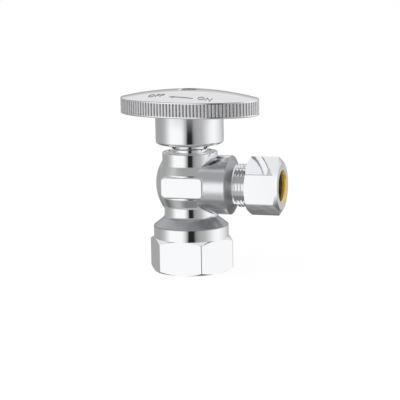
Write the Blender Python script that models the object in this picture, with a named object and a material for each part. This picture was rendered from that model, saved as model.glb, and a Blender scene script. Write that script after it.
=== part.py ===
"""Angle stop valve: a multi-turn shut-off valve with a threaded pipe inlet below, a compression tube outlet
to one side and an oval handle on top.

Frame: the origin is on the stem's axis, in the plane of the inlet's end face. +Z runs up the stem and +X runs
out of the outlet. The handle is shown in its closed position. Sizes are written in millimetres times MM.
"""

import math

import bmesh
import bpy
from mathutils import Matrix, Vector

MM = 0.001

# Gaps between pieces
FIT = 0.30 * MM  # between pieces that sit against each other
RUNNING = 0.20 * MM  # round the parts that turn or slide
THREAD_GAP = 0.13 * MM  # between the crests of one thread and the roots of its mate
THREAD_FLAT = 0.08 * MM  # how far a thread's flat stands out from its sharp root
HAIR = 0.1 * MM  # the least step between two edges that must not meet
EDGE = 0.3 * MM  # the usual broken edge
PAST = 1.0 * MM  # how far a cut runs past the face that it opens

# How finely round shapes are cut
TURNED_SIDES = 30
SMALL_SIDES = 20
THREAD_SIDES = 24
THREAD_PHASE = math.radians(2.5)  # keeps the facets of threads and turned shapes out of line
ARC_STEPS = 2

# Inlet: a hexagon with a round collar above it, tapped for a half-inch pipe
INLET_FLATS = 25.0 * MM
INLET_HEX_HEIGHT = 11.2 * MM
HEX_CHAMFER = math.radians(30)
COLLAR_RADIUS = INLET_FLATS / 2
COLLAR_HEIGHT = 4.0 * MM
COLLAR_TOP = INLET_HEX_HEIGHT + COLLAR_HEIGHT
COLLAR_EDGE = 0.5 * MM
SHOULDER_SLOPE = math.radians(38)
SHOULDER_FILLET = 2.0 * MM
INLET_THREAD_RADIUS = 10.25 * MM
INLET_THREAD_DEPTH = 0.95 * MM
INLET_PITCH = 1.814 * MM
INLET_BORE_DEPTH = 13.2 * MM
INLET_RUNOUT = 1.0 * MM  # plain bore past the last thread
INLET_CONE = 2.0 * MM

# Body
OUTLET_RISE = 13.6 * MM  # the outlet's axis above the collar
OUTLET_AXIS_Z = COLLAR_TOP + OUTLET_RISE
NECK_RADIUS = 8.8 * MM
BARREL_RADIUS = 9.2 * MM
BARREL_RISE = 10.9 * MM  # the body's top above the outlet's axis
BARREL_TOP = OUTLET_AXIS_Z + BARREL_RISE
BARREL_TOP_LAND = 0.6 * MM
BARREL_WALL = 1.4 * MM
BELT_STEP = 0.8 * MM
BELT_RADIUS = BARREL_RADIUS + BELT_STEP
BELT_HALF_HEIGHT = 3.9 * MM
BELT_FLARE = 3.1 * MM  # height over which the belt comes down to the neck, and to the barrel
BELT_FILLET = 2.5 * MM
BELT_EDGE = 0.8 * MM
BULGE = Vector((BELT_RADIUS + 1.8 * MM, 7.0 * MM, BARREL_RISE + 2.3 * MM))
PAD_HALF_LENGTH = 7.0 * MM
PAD_HALF_HEIGHT = 3.35 * MM
PAD_FACE_Y = BELT_RADIUS + 0.2 * MM
PAD_CHAMFER = 0.5 * MM
PAD_CORNER = 1.7 * MM

# Compression joint for a 3/8 inch tube: the sleeve, then the outlet that takes it, then the nut over both
TUBE_RADIUS = 4.7625 * MM
TUBE_CLEARANCE = 0.16 * MM
TUBE_BORE = TUBE_RADIUS + TUBE_CLEARANCE
SLEEVE_WALL = 0.83 * MM
SLEEVE_NOSE_WALL = 0.13 * MM
SLEEVE_RADIUS = TUBE_BORE + SLEEVE_WALL
SLEEVE_NOSE_RADIUS = TUBE_BORE + SLEEVE_NOSE_WALL
SLEEVE_NOSE_LENGTH = 1.6 * MM
SLEEVE_NOSE_DEPTH = 1.2 * MM  # how far the sleeve's nose lies in the outlet's mouth
SLEEVE_SHOULDER_LENGTH = 1.3 * MM
SLEEVE_ROUND = 0.5 * MM
MOUTH_RADIUS = SLEEVE_RADIUS + 0.2 * MM
MOUTH_DEPTH = 2.6 * MM
MOUTH_WALL = 0.59 * MM
OUTLET_THREAD_DEPTH = 0.60 * MM
OUTLET_THREAD_RADIUS = MOUTH_RADIUS + MOUTH_WALL + OUTLET_THREAD_DEPTH
OUTLET_PITCH = 25.4 / 24 * MM
OUTLET_THREAD_LENGTH = 8.8 * MM
OUTLET_LEAD_IN = 0.8 * MM
OUTLET_PASSAGE_RADIUS = 3.1 * MM
TUBE_SOCKET_DEPTH = 7.6 * MM
BRANCH_STEP = 2.66 * MM
BRANCH_RADIUS = OUTLET_THREAD_RADIUS + BRANCH_STEP
BRANCH_END_X = 14.35 * MM
BRANCH_CHAMFER_LENGTH = 1.65 * MM
BRANCH_THREAD_X = BRANCH_END_X + BRANCH_CHAMFER_LENGTH
OUTLET_END_X = BRANCH_THREAD_X + OUTLET_THREAD_LENGTH
TUBE_SOCKET_BOTTOM_X = OUTLET_END_X - TUBE_SOCKET_DEPTH
SLEEVE_BACK_X = OUTLET_END_X - SLEEVE_NOSE_DEPTH
NUT_WALL = 1.36 * MM
NUT_FLATS = 2 * (OUTLET_THREAD_RADIUS + NUT_WALL)
NUT_OVERLAP = 4.4 * MM
NUT_LENGTH = 11.1 * MM
NUT_BACK_X = OUTLET_END_X - NUT_OVERLAP
NUT_FRONT_X = NUT_BACK_X + NUT_LENGTH
NUT_FACE_STEP = 0.8 * MM
NUT_FACE_RADIUS = NUT_FLATS / 2 - NUT_FACE_STEP
NUT_END_WALL = 2.1 * MM
NUT_SHOULDER_RADIUS = TUBE_BORE + 0.33 * MM
NUT_SHOULDER_LENGTH = 1.2 * MM
NUT_RUNOUT = 0.7 * MM
NUT_LEAD_IN = 0.8 * MM
NUT_HOLE_CHAMFER = 0.5 * MM

# Waterway and seat
INLET_PASSAGE_RADIUS = 4.3 * MM
ORIFICE_RADIUS = 3.3 * MM
SEAT_DROP = 4.6 * MM  # the seat below the outlet's axis
SEAT_Z = OUTLET_AXIS_Z - SEAT_DROP
SEAT_LIP_WIDTH = 0.9 * MM
SEAT_LIP_HEIGHT = 0.8 * MM
SEAT_BRIDGE = 2.6 * MM
SEAT_CONE = 0.6 * MM

# Stem
STEM_SHANK_RADIUS = 3.0 * MM
STEM_THREAD_RADIUS = STEM_SHANK_RADIUS + 1.25 * MM
STEM_THREAD_DEPTH = 0.70 * MM
STEM_THREAD_LENGTH = 4.9 * MM
STEM_PITCH = 1.5 * MM
STEM_LIFT = 4.5 * MM
STEM_RUNOUT = 0.5 * MM  # taper from the thread's core down to the shank
STEM_FOOT_STEP = 0.15 * MM
STEM_FOOT_RADIUS = STEM_THREAD_RADIUS - STEM_THREAD_DEPTH - STEM_FOOT_STEP
BUTTON_RADIUS = 2.6 * MM
BUTTON_HEIGHT = 1.0 * MM
BUTTON_NECK_RADIUS = 1.75 * MM
DRIVE_CORNER = 0.17 * MM  # how far the square's corners lie inside the shank
DRIVE_SIDE = math.sqrt(2) * (STEM_SHANK_RADIUS - DRIVE_CORNER)
DRIVE_LENGTH = 4.0 * MM
DRILL_POINT = 0.6 * MM

# Bonnet: screwed into the body's top, carries the stem's thread and the packing
BONNET_RADIUS = BARREL_RADIUS - BARREL_WALL - FIT
BONNET_SOCKET_DEPTH = 6.9 * MM
GASKET_SEAT_Z = BARREL_TOP - BONNET_SOCKET_DEPTH
GASKET_HEIGHT = 1.0 * MM
GASKET_WIDTH = 0.9 * MM
CHAMBER_RADIUS = BONNET_RADIUS - GASKET_WIDTH
BONNET_NECK_RADIUS = STEM_THREAD_RADIUS + 1.6 * MM
BONNET_HEAD_Z = BARREL_TOP + 1.0 * MM
BONNET_UNDERCUT = 1.8 * MM
BONNET_HEAD_TOP = BONNET_HEAD_Z + 5.3 * MM
BONNET_SPIGOT = 3.6 * MM
BONNET_TOP = BONNET_HEAD_TOP + BONNET_SPIGOT
PACKING_BOX_RADIUS = STEM_SHANK_RADIUS + 1.3 * MM
PACKING_BOX_DEPTH = 5.0 * MM
PACKING_BOX_Z = BONNET_TOP - PACKING_BOX_DEPTH
PACKING_THREAD_RADIUS = PACKING_BOX_RADIUS + 1.1 * MM
BONNET_FLATS = 2 * (PACKING_THREAD_RADIUS + 2.6 * MM)
BONNET_RELIEF_RADIUS = BONNET_RADIUS - 1.75 * MM
BONNET_RELIEF_TOP = GASKET_SEAT_Z + 2.6 * MM
STEM_LAND_HEIGHT = 1.2 * MM
STEM_LAND_Z = PACKING_BOX_Z - STEM_LAND_HEIGHT
STEM_THREAD_TOP = STEM_LAND_Z - STEM_LIFT - STEM_RUNOUT - HAIR
STEM_THREAD_Z = STEM_THREAD_TOP - STEM_THREAD_LENGTH

# Swivelling disc under the stem, which carries the seat washer
WASHER_RADIUS = 4.9 * MM
WASHER_HEIGHT = 2.2 * MM
WASHER_SCREW_RADIUS = 1.2 * MM
WASHER_SCREW_HEAD_RADIUS = 2.3 * MM
WASHER_SCREW_HEAD_HEIGHT = 1.05 * MM
WASHER_SCREW_SLOT = 0.6 * MM
WASHER_SCREW_SLOT_DEPTH = 0.45 * MM
HOLDER_WALL = 0.5 * MM
HOLDER_BASE = 1.1 * MM
HOLDER_LIP = 0.6 * MM
HOLDER_HUB_WALL = 1.0 * MM
HOLDER_CUP_DEPTH = 1.1 * MM
WASHER_LOW = SEAT_Z + FIT
HOLDER_LOW = WASHER_LOW + WASHER_HEIGHT + FIT
HOLDER_FLOOR = HOLDER_LOW + HOLDER_BASE
BUTTON_LOW = HOLDER_FLOOR + FIT
HOLDER_LIP_LOW = BUTTON_LOW + BUTTON_HEIGHT + FIT
HOLDER_TOP = HOLDER_LIP_LOW + HOLDER_LIP
STEM_FOOT_Z = HOLDER_TOP + FIT

# Packing, gland and packing nut
PACKING_WASHER_HEIGHT = 0.6 * MM
PACKING_RING_HEIGHT = 1.3 * MM
PACKING_RINGS = 2
GLAND_HEIGHT = 1.6 * MM
GLAND_FLANGE = 0.6 * MM
GLAND_CLEAR = 0.5 * MM  # the gland's flange inside the nut's thread
PACKING_LOW = PACKING_BOX_Z + FIT + PACKING_WASHER_HEIGHT + FIT
GLAND_LOW = PACKING_LOW + PACKING_RINGS * (PACKING_RING_HEIGHT + FIT)
GLAND_FLANGE_LOW = max(GLAND_LOW + GLAND_HEIGHT - GLAND_FLANGE, BONNET_TOP + FIT)
GLAND_TOP = GLAND_FLANGE_LOW + GLAND_FLANGE
PACKING_NUT_FLATS = 2 * (PACKING_THREAD_RADIUS + 1.1 * MM)
PACKING_NUT_WALL = 0.8 * MM
PACKING_NUT_TOP = GLAND_TOP + FIT + PACKING_NUT_WALL
DRIVE_Z = PACKING_NUT_TOP + 0.5 * MM
DRIVE_TOP = DRIVE_Z + DRIVE_LENGTH

# Handle
HANDLE_HALF_LENGTH = 24.6 * MM
HANDLE_HALF_WIDTH = 15.2 * MM
HANDLE_TURN = math.radians(-10)
HANDLE_TEETH = 108
TOOTH_DEPTH = 0.45 * MM
RIM_HEIGHT = 5.5 * MM
RIM_BOTTOM = DRIVE_Z
RIM_TOP = RIM_BOTTOM + RIM_HEIGHT
RIM_LIP = 0.45 * MM
RIM_WALL = 2.2 * MM
DOME_SIDES = 36
DOME_SHARES = (1.0, 0.8, 0.6, 0.4, 0.22)
DOME_RISE = 2.8 * MM
DOME_TOP = RIM_TOP + DOME_RISE
HANDLE_SHELL = 1.9 * MM
SKIRT_WALL = 1.5 * MM
SKIRT_CLEAR = 0.56 * MM  # round the corners of the bonnet's hexagon
SKIRT_RADIUS = BONNET_FLATS / math.sqrt(3) + SKIRT_CLEAR + SKIRT_WALL
SKIRT_BOTTOM = BARREL_TOP + 2.7 * MM
SKIRT_EDGE = 1.1 * MM
BOSS_RADIUS = STEM_SHANK_RADIUS + 1.6 * MM
BOSS_BOTTOM = DRIVE_Z + FIT
RECESS_RADIUS = 3.7 * MM
RECESS_WEB = 1.1 * MM  # metal between the drive's socket and the screw's recess
RECESS_FLOOR = DRIVE_TOP + 2 * FIT + RECESS_WEB

# Handle screw and its lock washer
SCREW_RADIUS = 1.4 * MM
SCREW_HEAD_RADIUS = 3.15 * MM
SCREW_HEAD_HEIGHT = 1.5 * MM
SCREW_HEAD_ROUND = 0.8 * MM
SCREW_POINT = 0.4 * MM
SCREW_LENGTH = 7.0 * MM
LOCK_WASHER_RADIUS = 2.9 * MM
LOCK_WASHER_HEIGHT = 0.6 * MM
LOCK_WASHER_SPLIT = 0.7 * MM
CROSS_WIDTH = 0.75 * MM
CROSS_LENGTH = 3.6 * MM
CROSS_DEPTH = 0.9 * MM

ALONG_X = Matrix.Rotation(math.radians(90), 4, "Y")


# Materials

def material(name, colour, metallic, roughness):
    made = bpy.data.materials.new(name)
    made.use_nodes = True
    shader = made.node_tree.nodes["Principled BSDF"]
    shader.inputs["Base Color"].default_value = (*colour, 1)
    shader.inputs["Metallic"].default_value = metallic
    shader.inputs["Roughness"].default_value = roughness
    return made


def all_materials():
    return {
        "chrome": material("chrome", (0.80, 0.81, 0.83), 1.0, 0.06),
        "brass": material("brass", (0.80, 0.58, 0.24), 1.0, 0.25),
        "rubber": material("rubber", (0.03, 0.03, 0.03), 0.0, 0.7),
        "packing": material("packing", (0.85, 0.84, 0.80), 0.0, 0.5),
        "fibre": material("fibre", (0.45, 0.13, 0.08), 0.0, 0.8),
        "steel": material("steel", (0.42, 0.42, 0.44), 1.0, 0.3),
    }


# Making and combining shapes

def object_from(name, bm):
    """A new object that holds the finished bmesh, smooth where it is round."""
    bmesh.ops.remove_doubles(bm, verts=bm.verts, dist=1e-7)
    bmesh.ops.recalc_face_normals(bm, faces=bm.faces)
    mesh = bpy.data.meshes.new(name)
    bm.to_mesh(mesh)
    bm.free()
    mesh.shade_smooth()
    mesh.set_sharp_from_angle(angle=math.radians(30))
    made = bpy.data.objects.new(name, mesh)
    bpy.context.scene.collection.objects.link(made)
    return made


def rounded(outline):
    """(radius, height, corner radius) points as (radius, height) points, with each such corner an arc."""
    points = []
    count = len(outline)
    for i, (r, z, corner) in enumerate(outline):
        here = Vector((r, z))
        if corner == 0:
            points.append((r, z))
            continue
        back = (Vector(outline[i - 1][:2]) - here).normalized()
        ahead = (Vector(outline[(i + 1) % count][:2]) - here).normalized()
        half = back.angle(ahead) / 2
        reach = corner / math.tan(half)
        centre = here + (back + ahead).normalized() * (corner / math.sin(half))
        start = here + back * reach - centre
        end = here + ahead * reach - centre
        sweep = start.angle_signed(end)
        for step in range(ARC_STEPS + 1):
            turn = Matrix.Rotation(-sweep * step / ARC_STEPS, 2)
            points.append(tuple(centre + turn @ start))
    return points


def turned(name, outline, sides=TURNED_SIDES, half_step=False):
    """A solid turned about Z from a closed outline of (radius, height) or (radius, height, corner) points.

    With half_step, a facet and not an edge faces +X.
    """
    points = rounded([(*p, 0) if len(p) == 2 else p for p in outline])
    start = math.pi / sides if half_step else 0
    bm = bmesh.new()
    verts = [bm.verts.new((r * math.cos(start), r * math.sin(start), z)) for r, z in points]
    edges = []
    for a, b in zip(verts, verts[1:] + verts[:1]):
        if a.co.x > 0 or b.co.x > 0:
            edges.append(bm.edges.new((a, b)))
    bmesh.ops.spin(
        bm,
        geom=verts + edges,
        cent=(0, 0, 0),
        axis=(0, 0, 1),
        angle=math.tau,
        steps=sides,
        use_merge=True,
    )
    return object_from(name, bm)


def tube(name, inner, outer, low, high, chamfer=0.0, sides=TURNED_SIDES):
    """A plain ring, with its outer edges broken by the chamfer."""
    return turned(
        name,
        [
            (inner, low),
            (outer - chamfer, low),
            (outer, low + chamfer),
            (outer, high - chamfer),
            (outer - chamfer, high),
            (inner, high),
        ],
        sides,
    )


def prism(name, corners, low, high):
    """A closed outline of (x, y) corners drawn up from low to high."""
    bm = bmesh.new()
    face = bm.faces.new([bm.verts.new((x, y, low)) for x, y in corners])
    lifted = bmesh.ops.extrude_face_region(bm, geom=[face])
    top = [v for v in lifted["geom"] if isinstance(v, bmesh.types.BMVert)]
    bmesh.ops.translate(bm, verts=top, vec=(0, 0, high - low))
    return object_from(name, bm)


def hexagon(flats):
    """Corners of a hexagon that has a corner on +X."""
    radius = flats / math.sqrt(3)
    return [(radius * math.cos(i * math.tau / 6), radius * math.sin(i * math.tau / 6)) for i in range(6)]


def box(name, low, high):
    corners = [(low[0], low[1]), (high[0], low[1]), (high[0], high[1]), (low[0], high[1])]
    return prism(name, corners, low[2], high[2])


def thread_rod(name, radius, depth, pitch, low, high, sides=THREAD_SIDES):
    """A right-hand V thread on a solid core.

    Its turns are counted from z = 0, so that threads of one pitch mesh.
    """
    first = math.floor(low / pitch) - 1
    turns = math.ceil(high / pitch) + 1 - first
    radii = (radius - depth, radius)
    bm = bmesh.new()
    columns = []
    for side in range(sides):
        angle = math.tau * side / sides + THREAD_PHASE
        column = []
        for step in range(2 * turns + 1):
            r = radii[step % 2]
            z = (first + step / 2 + side / sides) * pitch
            column.append(bm.verts.new((r * math.cos(angle), r * math.sin(angle), z)))
        columns.append(column)
    for side in range(sides - 1):
        here, ahead = columns[side], columns[side + 1]
        for step in range(2 * turns):
            bm.faces.new((here[step], ahead[step], ahead[step + 1], here[step + 1]))
    last, start = columns[-1], columns[0]
    for step in range(2 * turns - 2):
        bm.faces.new((last[step], start[step + 2], start[step + 3], last[step + 1]))
    bottom = [column[0] for column in columns] + [start[2], start[1]]
    top = [column[-1] for column in reversed(columns)] + [last[-3], last[-2]]
    bottom_centre = bm.verts.new((0, 0, (first - 1) * pitch))
    top_centre = bm.verts.new((0, 0, (first + turns + 2) * pitch))
    for loop, centre in ((bottom, bottom_centre), (top, top_centre)):
        for a, b in zip(loop, loop[1:] + loop[:1]):
            bm.faces.new((a, b, centre))
    return object_from(name, bm)


def combine(target, operation, other):
    """A Boolean modifier on target. The other object stays in the file as a hidden helper."""
    modifier = target.modifiers.new(f"{operation.lower()}_{other.name}", "BOOLEAN")
    modifier.operation = operation
    modifier.object = other
    modifier.solver = "EXACT"
    other.hide_render = True
    other.display_type = "WIRE"


def join(target, *others):
    for other in others:
        combine(target, "UNION", other)


def cut(target, *others):
    for other in others:
        combine(target, "DIFFERENCE", other)


def keep_inside(target, *others):
    for other in others:
        combine(target, "INTERSECT", other)


def lay_along_x(*objects):
    """Turns shapes made about Z so that their height runs along +X, on the outlet's axis."""
    for made in objects:
        made.matrix_world = Matrix.Translation((0, 0, OUTLET_AXIS_Z)) @ ALONG_X


def finish(made, name, finish_material):
    made.name = name
    made.data.name = name
    made.data.materials.clear()
    made.data.materials.append(finish_material)
    return made


def chamfered_hex(name, flats, low, high, low_face, high_face, slope=HEX_CHAMFER):
    """A hexagonal bar between two heights, whose corners are turned off down to each end face's radius."""
    corner = flats / math.sqrt(3) + PAST
    bar = prism(name, hexagon(flats), low, high)
    turning = turned(
        name + "_turning",
        [
            (0, low),
            (low_face, low),
            (corner, low + (corner - low_face) * math.tan(slope)),
            (corner, high - (corner - high_face) * math.tan(slope)),
            (high_face, high),
            (0, high),
        ],
        half_step=True,
    )
    keep_inside(bar, turning)
    return bar


# Body

def barrel():
    """The turned part of the body: collar, shoulder, neck, belt and upper barrel."""
    belt_low = OUTLET_AXIS_Z - BELT_HALF_HEIGHT
    belt_high = OUTLET_AXIS_Z + BELT_HALF_HEIGHT
    shoulder = (COLLAR_RADIUS - NECK_RADIUS) * math.tan(SHOULDER_SLOPE)
    return turned(
        "barrel",
        [
            (0, INLET_HEX_HEIGHT - PAST),
            (COLLAR_RADIUS, INLET_HEX_HEIGHT - PAST),
            (COLLAR_RADIUS, COLLAR_TOP, COLLAR_EDGE),
            (NECK_RADIUS, COLLAR_TOP + shoulder, SHOULDER_FILLET),
            (NECK_RADIUS, belt_low - BELT_FLARE, BELT_FILLET),
            (BELT_RADIUS, belt_low, BELT_EDGE),
            (BELT_RADIUS, belt_high, BELT_EDGE),
            (BARREL_RADIUS, belt_high + BELT_FLARE, BELT_FILLET),
            (BARREL_RADIUS, BARREL_TOP - EDGE, HAIR),
            (BONNET_RADIUS + BARREL_TOP_LAND, BARREL_TOP, HAIR),
            (0, BARREL_TOP),
        ],
    )


def pad(side):
    """A flat wrench pad with round corners, on the front (side -1) or the back (side 1) of the body."""
    bm = bmesh.new()
    bmesh.ops.create_cube(bm, size=1.0)
    length = 2 * PAD_HALF_LENGTH + PAD_CHAMFER
    height = 2 * PAD_HALF_HEIGHT + PAD_CHAMFER
    bmesh.ops.scale(bm, verts=bm.verts, vec=(length, PAD_FACE_Y, height))
    bmesh.ops.translate(bm, verts=bm.verts, vec=(0, side * PAD_FACE_Y / 2, OUTLET_AXIS_Z))
    bm.normal_update()
    across = [e for e in bm.edges if abs((e.verts[0].co - e.verts[1].co).y) > PAD_FACE_Y / 2]
    bmesh.ops.bevel(bm, geom=across, offset=PAD_CORNER, segments=ARC_STEPS, profile=0.5, affect="EDGES")
    face = [f for f in bm.faces if f.normal.y * side > 0.9]
    rim = [e for f in face for e in f.edges]
    bmesh.ops.bevel(bm, geom=rim, offset=PAD_CHAMFER, segments=2, profile=0.5, affect="EDGES")
    return object_from("pad_front" if side < 0 else "pad_back", bm)


def bulge():
    """The rounded back of the body, behind the valve chamber."""
    bm = bmesh.new()
    bmesh.ops.create_uvsphere(bm, u_segments=20, v_segments=12, radius=1.0)
    bmesh.ops.scale(bm, verts=bm.verts, vec=BULGE)
    made = object_from("bulge", bm)
    made.location.z = OUTLET_AXIS_Z
    return made


def branch():
    """The outlet branch up to the start of its thread."""
    core = OUTLET_THREAD_RADIUS - OUTLET_THREAD_DEPTH + THREAD_FLAT
    made = turned(
        "branch",
        [
            (0, 0),
            (BRANCH_RADIUS, 0),
            (BRANCH_RADIUS, BRANCH_END_X, EDGE),
            (core + EDGE, BRANCH_THREAD_X),
            (core, BRANCH_THREAD_X + EDGE),
            (core, OUTLET_END_X - EDGE),
            (core - EDGE, OUTLET_END_X),
            (0, OUTLET_END_X),
        ],
    )
    lay_along_x(made)
    return made


def outlet_thread():
    """The male thread of the outlet, with its first turn chamfered."""
    root = OUTLET_THREAD_RADIUS - OUTLET_THREAD_DEPTH
    low = BRANCH_THREAD_X + EDGE
    high = OUTLET_END_X - 2 * HAIR
    over = OUTLET_THREAD_RADIUS + 2 * HAIR
    rod = thread_rod("outlet_thread", OUTLET_THREAD_RADIUS, OUTLET_THREAD_DEPTH, OUTLET_PITCH, low, high)
    envelope = turned(
        "outlet_thread_envelope",
        [
            (0, low),
            (root - 2 * HAIR, low),
            (over, low + OUTLET_LEAD_IN),
            (over, high - OUTLET_LEAD_IN),
            (root - HAIR, high),
            (0, high),
        ],
    )
    lay_along_x(rod, envelope)
    keep_inside(rod, envelope)
    return rod


def inlet_bore():
    """The tapped bore and the waterway up to the seat."""
    minor = INLET_THREAD_RADIUS - INLET_THREAD_DEPTH + THREAD_FLAT
    relief = INLET_THREAD_RADIUS + HAIR
    relief_z = INLET_BORE_DEPTH - INLET_RUNOUT
    seat_low = SEAT_Z - SEAT_BRIDGE
    return turned(
        "inlet_bore",
        [
            (0, -PAST),
            (relief + 1.2 * PAST, -PAST),
            (minor, 0.6 * INLET_THREAD_DEPTH),
            (minor, relief_z - EDGE),
            (relief, relief_z),
            (relief, INLET_BORE_DEPTH),
            (INLET_PASSAGE_RADIUS, INLET_BORE_DEPTH + INLET_CONE),
            (INLET_PASSAGE_RADIUS, seat_low - SEAT_CONE),
            (ORIFICE_RADIUS, seat_low),
            (ORIFICE_RADIUS, SEAT_Z + PAST),
            (0, SEAT_Z + PAST),
        ],
    )


def chamber():
    """The valve chamber above the seat, and the bonnet's bore."""
    floor = SEAT_Z - SEAT_LIP_HEIGHT
    lip = ORIFICE_RADIUS + SEAT_LIP_WIDTH
    inner = ORIFICE_RADIUS - PAST
    bore = BONNET_RADIUS + FIT
    top = OUTLET_AXIS_Z + BULGE.z + PAST
    return turned(
        "chamber",
        [
            (inner, SEAT_Z),
            (lip, SEAT_Z),
            (lip + 2 * HAIR, floor),
            (CHAMBER_RADIUS, floor),
            (CHAMBER_RADIUS, GASKET_SEAT_Z),
            (bore, GASKET_SEAT_Z),
            (bore, BARREL_TOP - EDGE),
            (bore + 3 * EDGE, BARREL_TOP + 2 * EDGE),
            (bore + 3 * EDGE, top),
            (inner, top),
        ],
    )


def chamber_core():
    """Opens the middle of the chamber, which its ring leaves standing."""
    radius, low, high = ORIFICE_RADIUS - EDGE, SEAT_Z - PAST, OUTLET_AXIS_Z + BULGE.z + 2 * PAST
    return turned("chamber_core", [(0, low), (radius, low), (radius, high), (0, high)], SMALL_SIDES)


def outlet_bore():
    """The outlet passage, the tube's socket and the mouth that takes the sleeve."""
    socket = TUBE_RADIUS + TUBE_CLEARANCE
    made = turned(
        "outlet_bore",
        [
            (0, CHAMBER_RADIUS / 2),
            (OUTLET_PASSAGE_RADIUS, CHAMBER_RADIUS / 2),
            (OUTLET_PASSAGE_RADIUS, TUBE_SOCKET_BOTTOM_X - SEAT_CONE),
            (socket, TUBE_SOCKET_BOTTOM_X),
            (socket, OUTLET_END_X - MOUTH_DEPTH),
            (MOUTH_RADIUS, OUTLET_END_X),
            (MOUTH_RADIUS, OUTLET_END_X + PAST),
            (0, OUTLET_END_X + PAST),
        ],
        SMALL_SIDES,
    )
    lay_along_x(made)
    return made


def valve_body(materials):
    made = barrel()
    hexagonal = chamfered_hex(
        "inlet_hex", INLET_FLATS, 0, INLET_HEX_HEIGHT, (INLET_FLATS + HAIR) / 2, COLLAR_RADIUS - HAIR / 2
    )
    thread = thread_rod(
        "inlet_thread", INLET_THREAD_RADIUS, INLET_THREAD_DEPTH, INLET_PITCH, 0, INLET_BORE_DEPTH
    )
    around, end = INLET_THREAD_RADIUS + PAST, INLET_BORE_DEPTH - INLET_RUNOUT / 2
    reach = turned("inlet_thread_reach", [(0, -PAST), (around, -PAST), (around, end), (0, end)])
    keep_inside(thread, reach)
    join(made, hexagonal, bulge(), branch(), pad(-1), pad(1), outlet_thread())
    cut(made, inlet_bore(), thread, chamber(), chamber_core(), outlet_bore())
    return finish(made, "valve_body", materials["chrome"])


# Bonnet and packing

def bonnet(materials):
    bottom = GASKET_SEAT_Z + GASKET_HEIGHT + 2 * FIT
    shoulder = BARREL_TOP - FIT / 2
    head_apothem = BONNET_FLATS / 2
    head_low = BONNET_HEAD_Z + BONNET_UNDERCUT
    head_core = head_apothem - HAIR
    made = turned(
        "bonnet_turned",
        [
            (0, bottom),
            (BONNET_RADIUS - EDGE, bottom),
            (BONNET_RADIUS, bottom + EDGE),
            (BONNET_RADIUS, shoulder - 2 * HAIR),
            (BONNET_RADIUS - 2 * HAIR, shoulder),
            (BONNET_NECK_RADIUS, shoulder),
            (BONNET_NECK_RADIUS, BONNET_HEAD_Z, 2 * HAIR),
            (head_core, head_low),
            (head_core, BONNET_HEAD_TOP - 2 * EDGE),
            (PACKING_THREAD_RADIUS, BONNET_HEAD_TOP - 2 * EDGE),
            (PACKING_THREAD_RADIUS, BONNET_TOP - EDGE),
            (PACKING_THREAD_RADIUS - EDGE, BONNET_TOP),
            (0, BONNET_TOP),
        ],
    )
    head = chamfered_hex(
        "bonnet_head", BONNET_FLATS, head_low - 2 * HAIR, BONNET_HEAD_TOP,
        head_apothem - 3 * HAIR, head_apothem - 4 * HAIR,
    )
    join(made, head)
    major = STEM_THREAD_RADIUS + THREAD_GAP
    minor = major - STEM_THREAD_DEPTH + THREAD_FLAT
    land = STEM_SHANK_RADIUS + RUNNING
    bore = turned(
        "bonnet_bore",
        [
            (0, bottom - PAST),
            (BONNET_RELIEF_RADIUS, bottom - PAST),
            (BONNET_RELIEF_RADIUS, BONNET_RELIEF_TOP),
            (minor, BONNET_RELIEF_TOP + EDGE),
            (minor, STEM_LAND_Z),
            (land, STEM_LAND_Z),
            (land, PACKING_BOX_Z),
            (PACKING_BOX_RADIUS, PACKING_BOX_Z),
            (PACKING_BOX_RADIUS, BONNET_TOP + PAST),
            (0, BONNET_TOP + PAST),
        ],
        SMALL_SIDES,
    )
    thread = thread_rod("bonnet_thread", major, STEM_THREAD_DEPTH, STEM_PITCH, BONNET_RELIEF_TOP, STEM_LAND_Z)
    low, high = BONNET_RELIEF_TOP - 2 * EDGE, STEM_LAND_Z - HAIR / 10
    reach = turned("bonnet_thread_reach", [(0, low), (major + PAST, low), (major + PAST, high), (0, high)])
    keep_inside(thread, reach)
    cut(made, bore, thread)
    return finish(made, "bonnet", materials["brass"])


def bonnet_gasket(materials):
    low = GASKET_SEAT_Z + FIT
    made = tube("bonnet_gasket", CHAMBER_RADIUS - FIT, BONNET_RADIUS - HAIR, low, low + GASKET_HEIGHT)
    return finish(made, "bonnet_gasket", materials["fibre"])


def packing_stack(materials):
    """The washer, rings and gland round the stem's shank, from the bottom of the packing box up."""
    inner = STEM_SHANK_RADIUS + RUNNING
    outer = PACKING_BOX_RADIUS - RUNNING
    low = PACKING_BOX_Z + FIT
    washer = tube("packing_washer", inner, outer, low, low + PACKING_WASHER_HEIGHT, HAIR, SMALL_SIDES)
    finish(washer, "packing_washer", materials["brass"])
    for number in range(PACKING_RINGS):
        low = PACKING_LOW + number * (PACKING_RING_HEIGHT + FIT)
        ring = tube("packing_ring", inner, outer, low, low + PACKING_RING_HEIGHT, 2 * HAIR, SMALL_SIDES)
        finish(ring, f"packing_ring_{number + 1}", materials["packing"])
    flange = PACKING_THREAD_RADIUS - GLAND_CLEAR
    gland = turned(
        "gland_follower",
        [
            (inner, GLAND_LOW),
            (outer, GLAND_LOW),
            (outer, GLAND_FLANGE_LOW),
            (flange, GLAND_FLANGE_LOW),
            (flange, GLAND_TOP),
            (inner, GLAND_TOP),
        ],
        SMALL_SIDES,
    )
    finish(gland, "gland_follower", materials["brass"])


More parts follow.
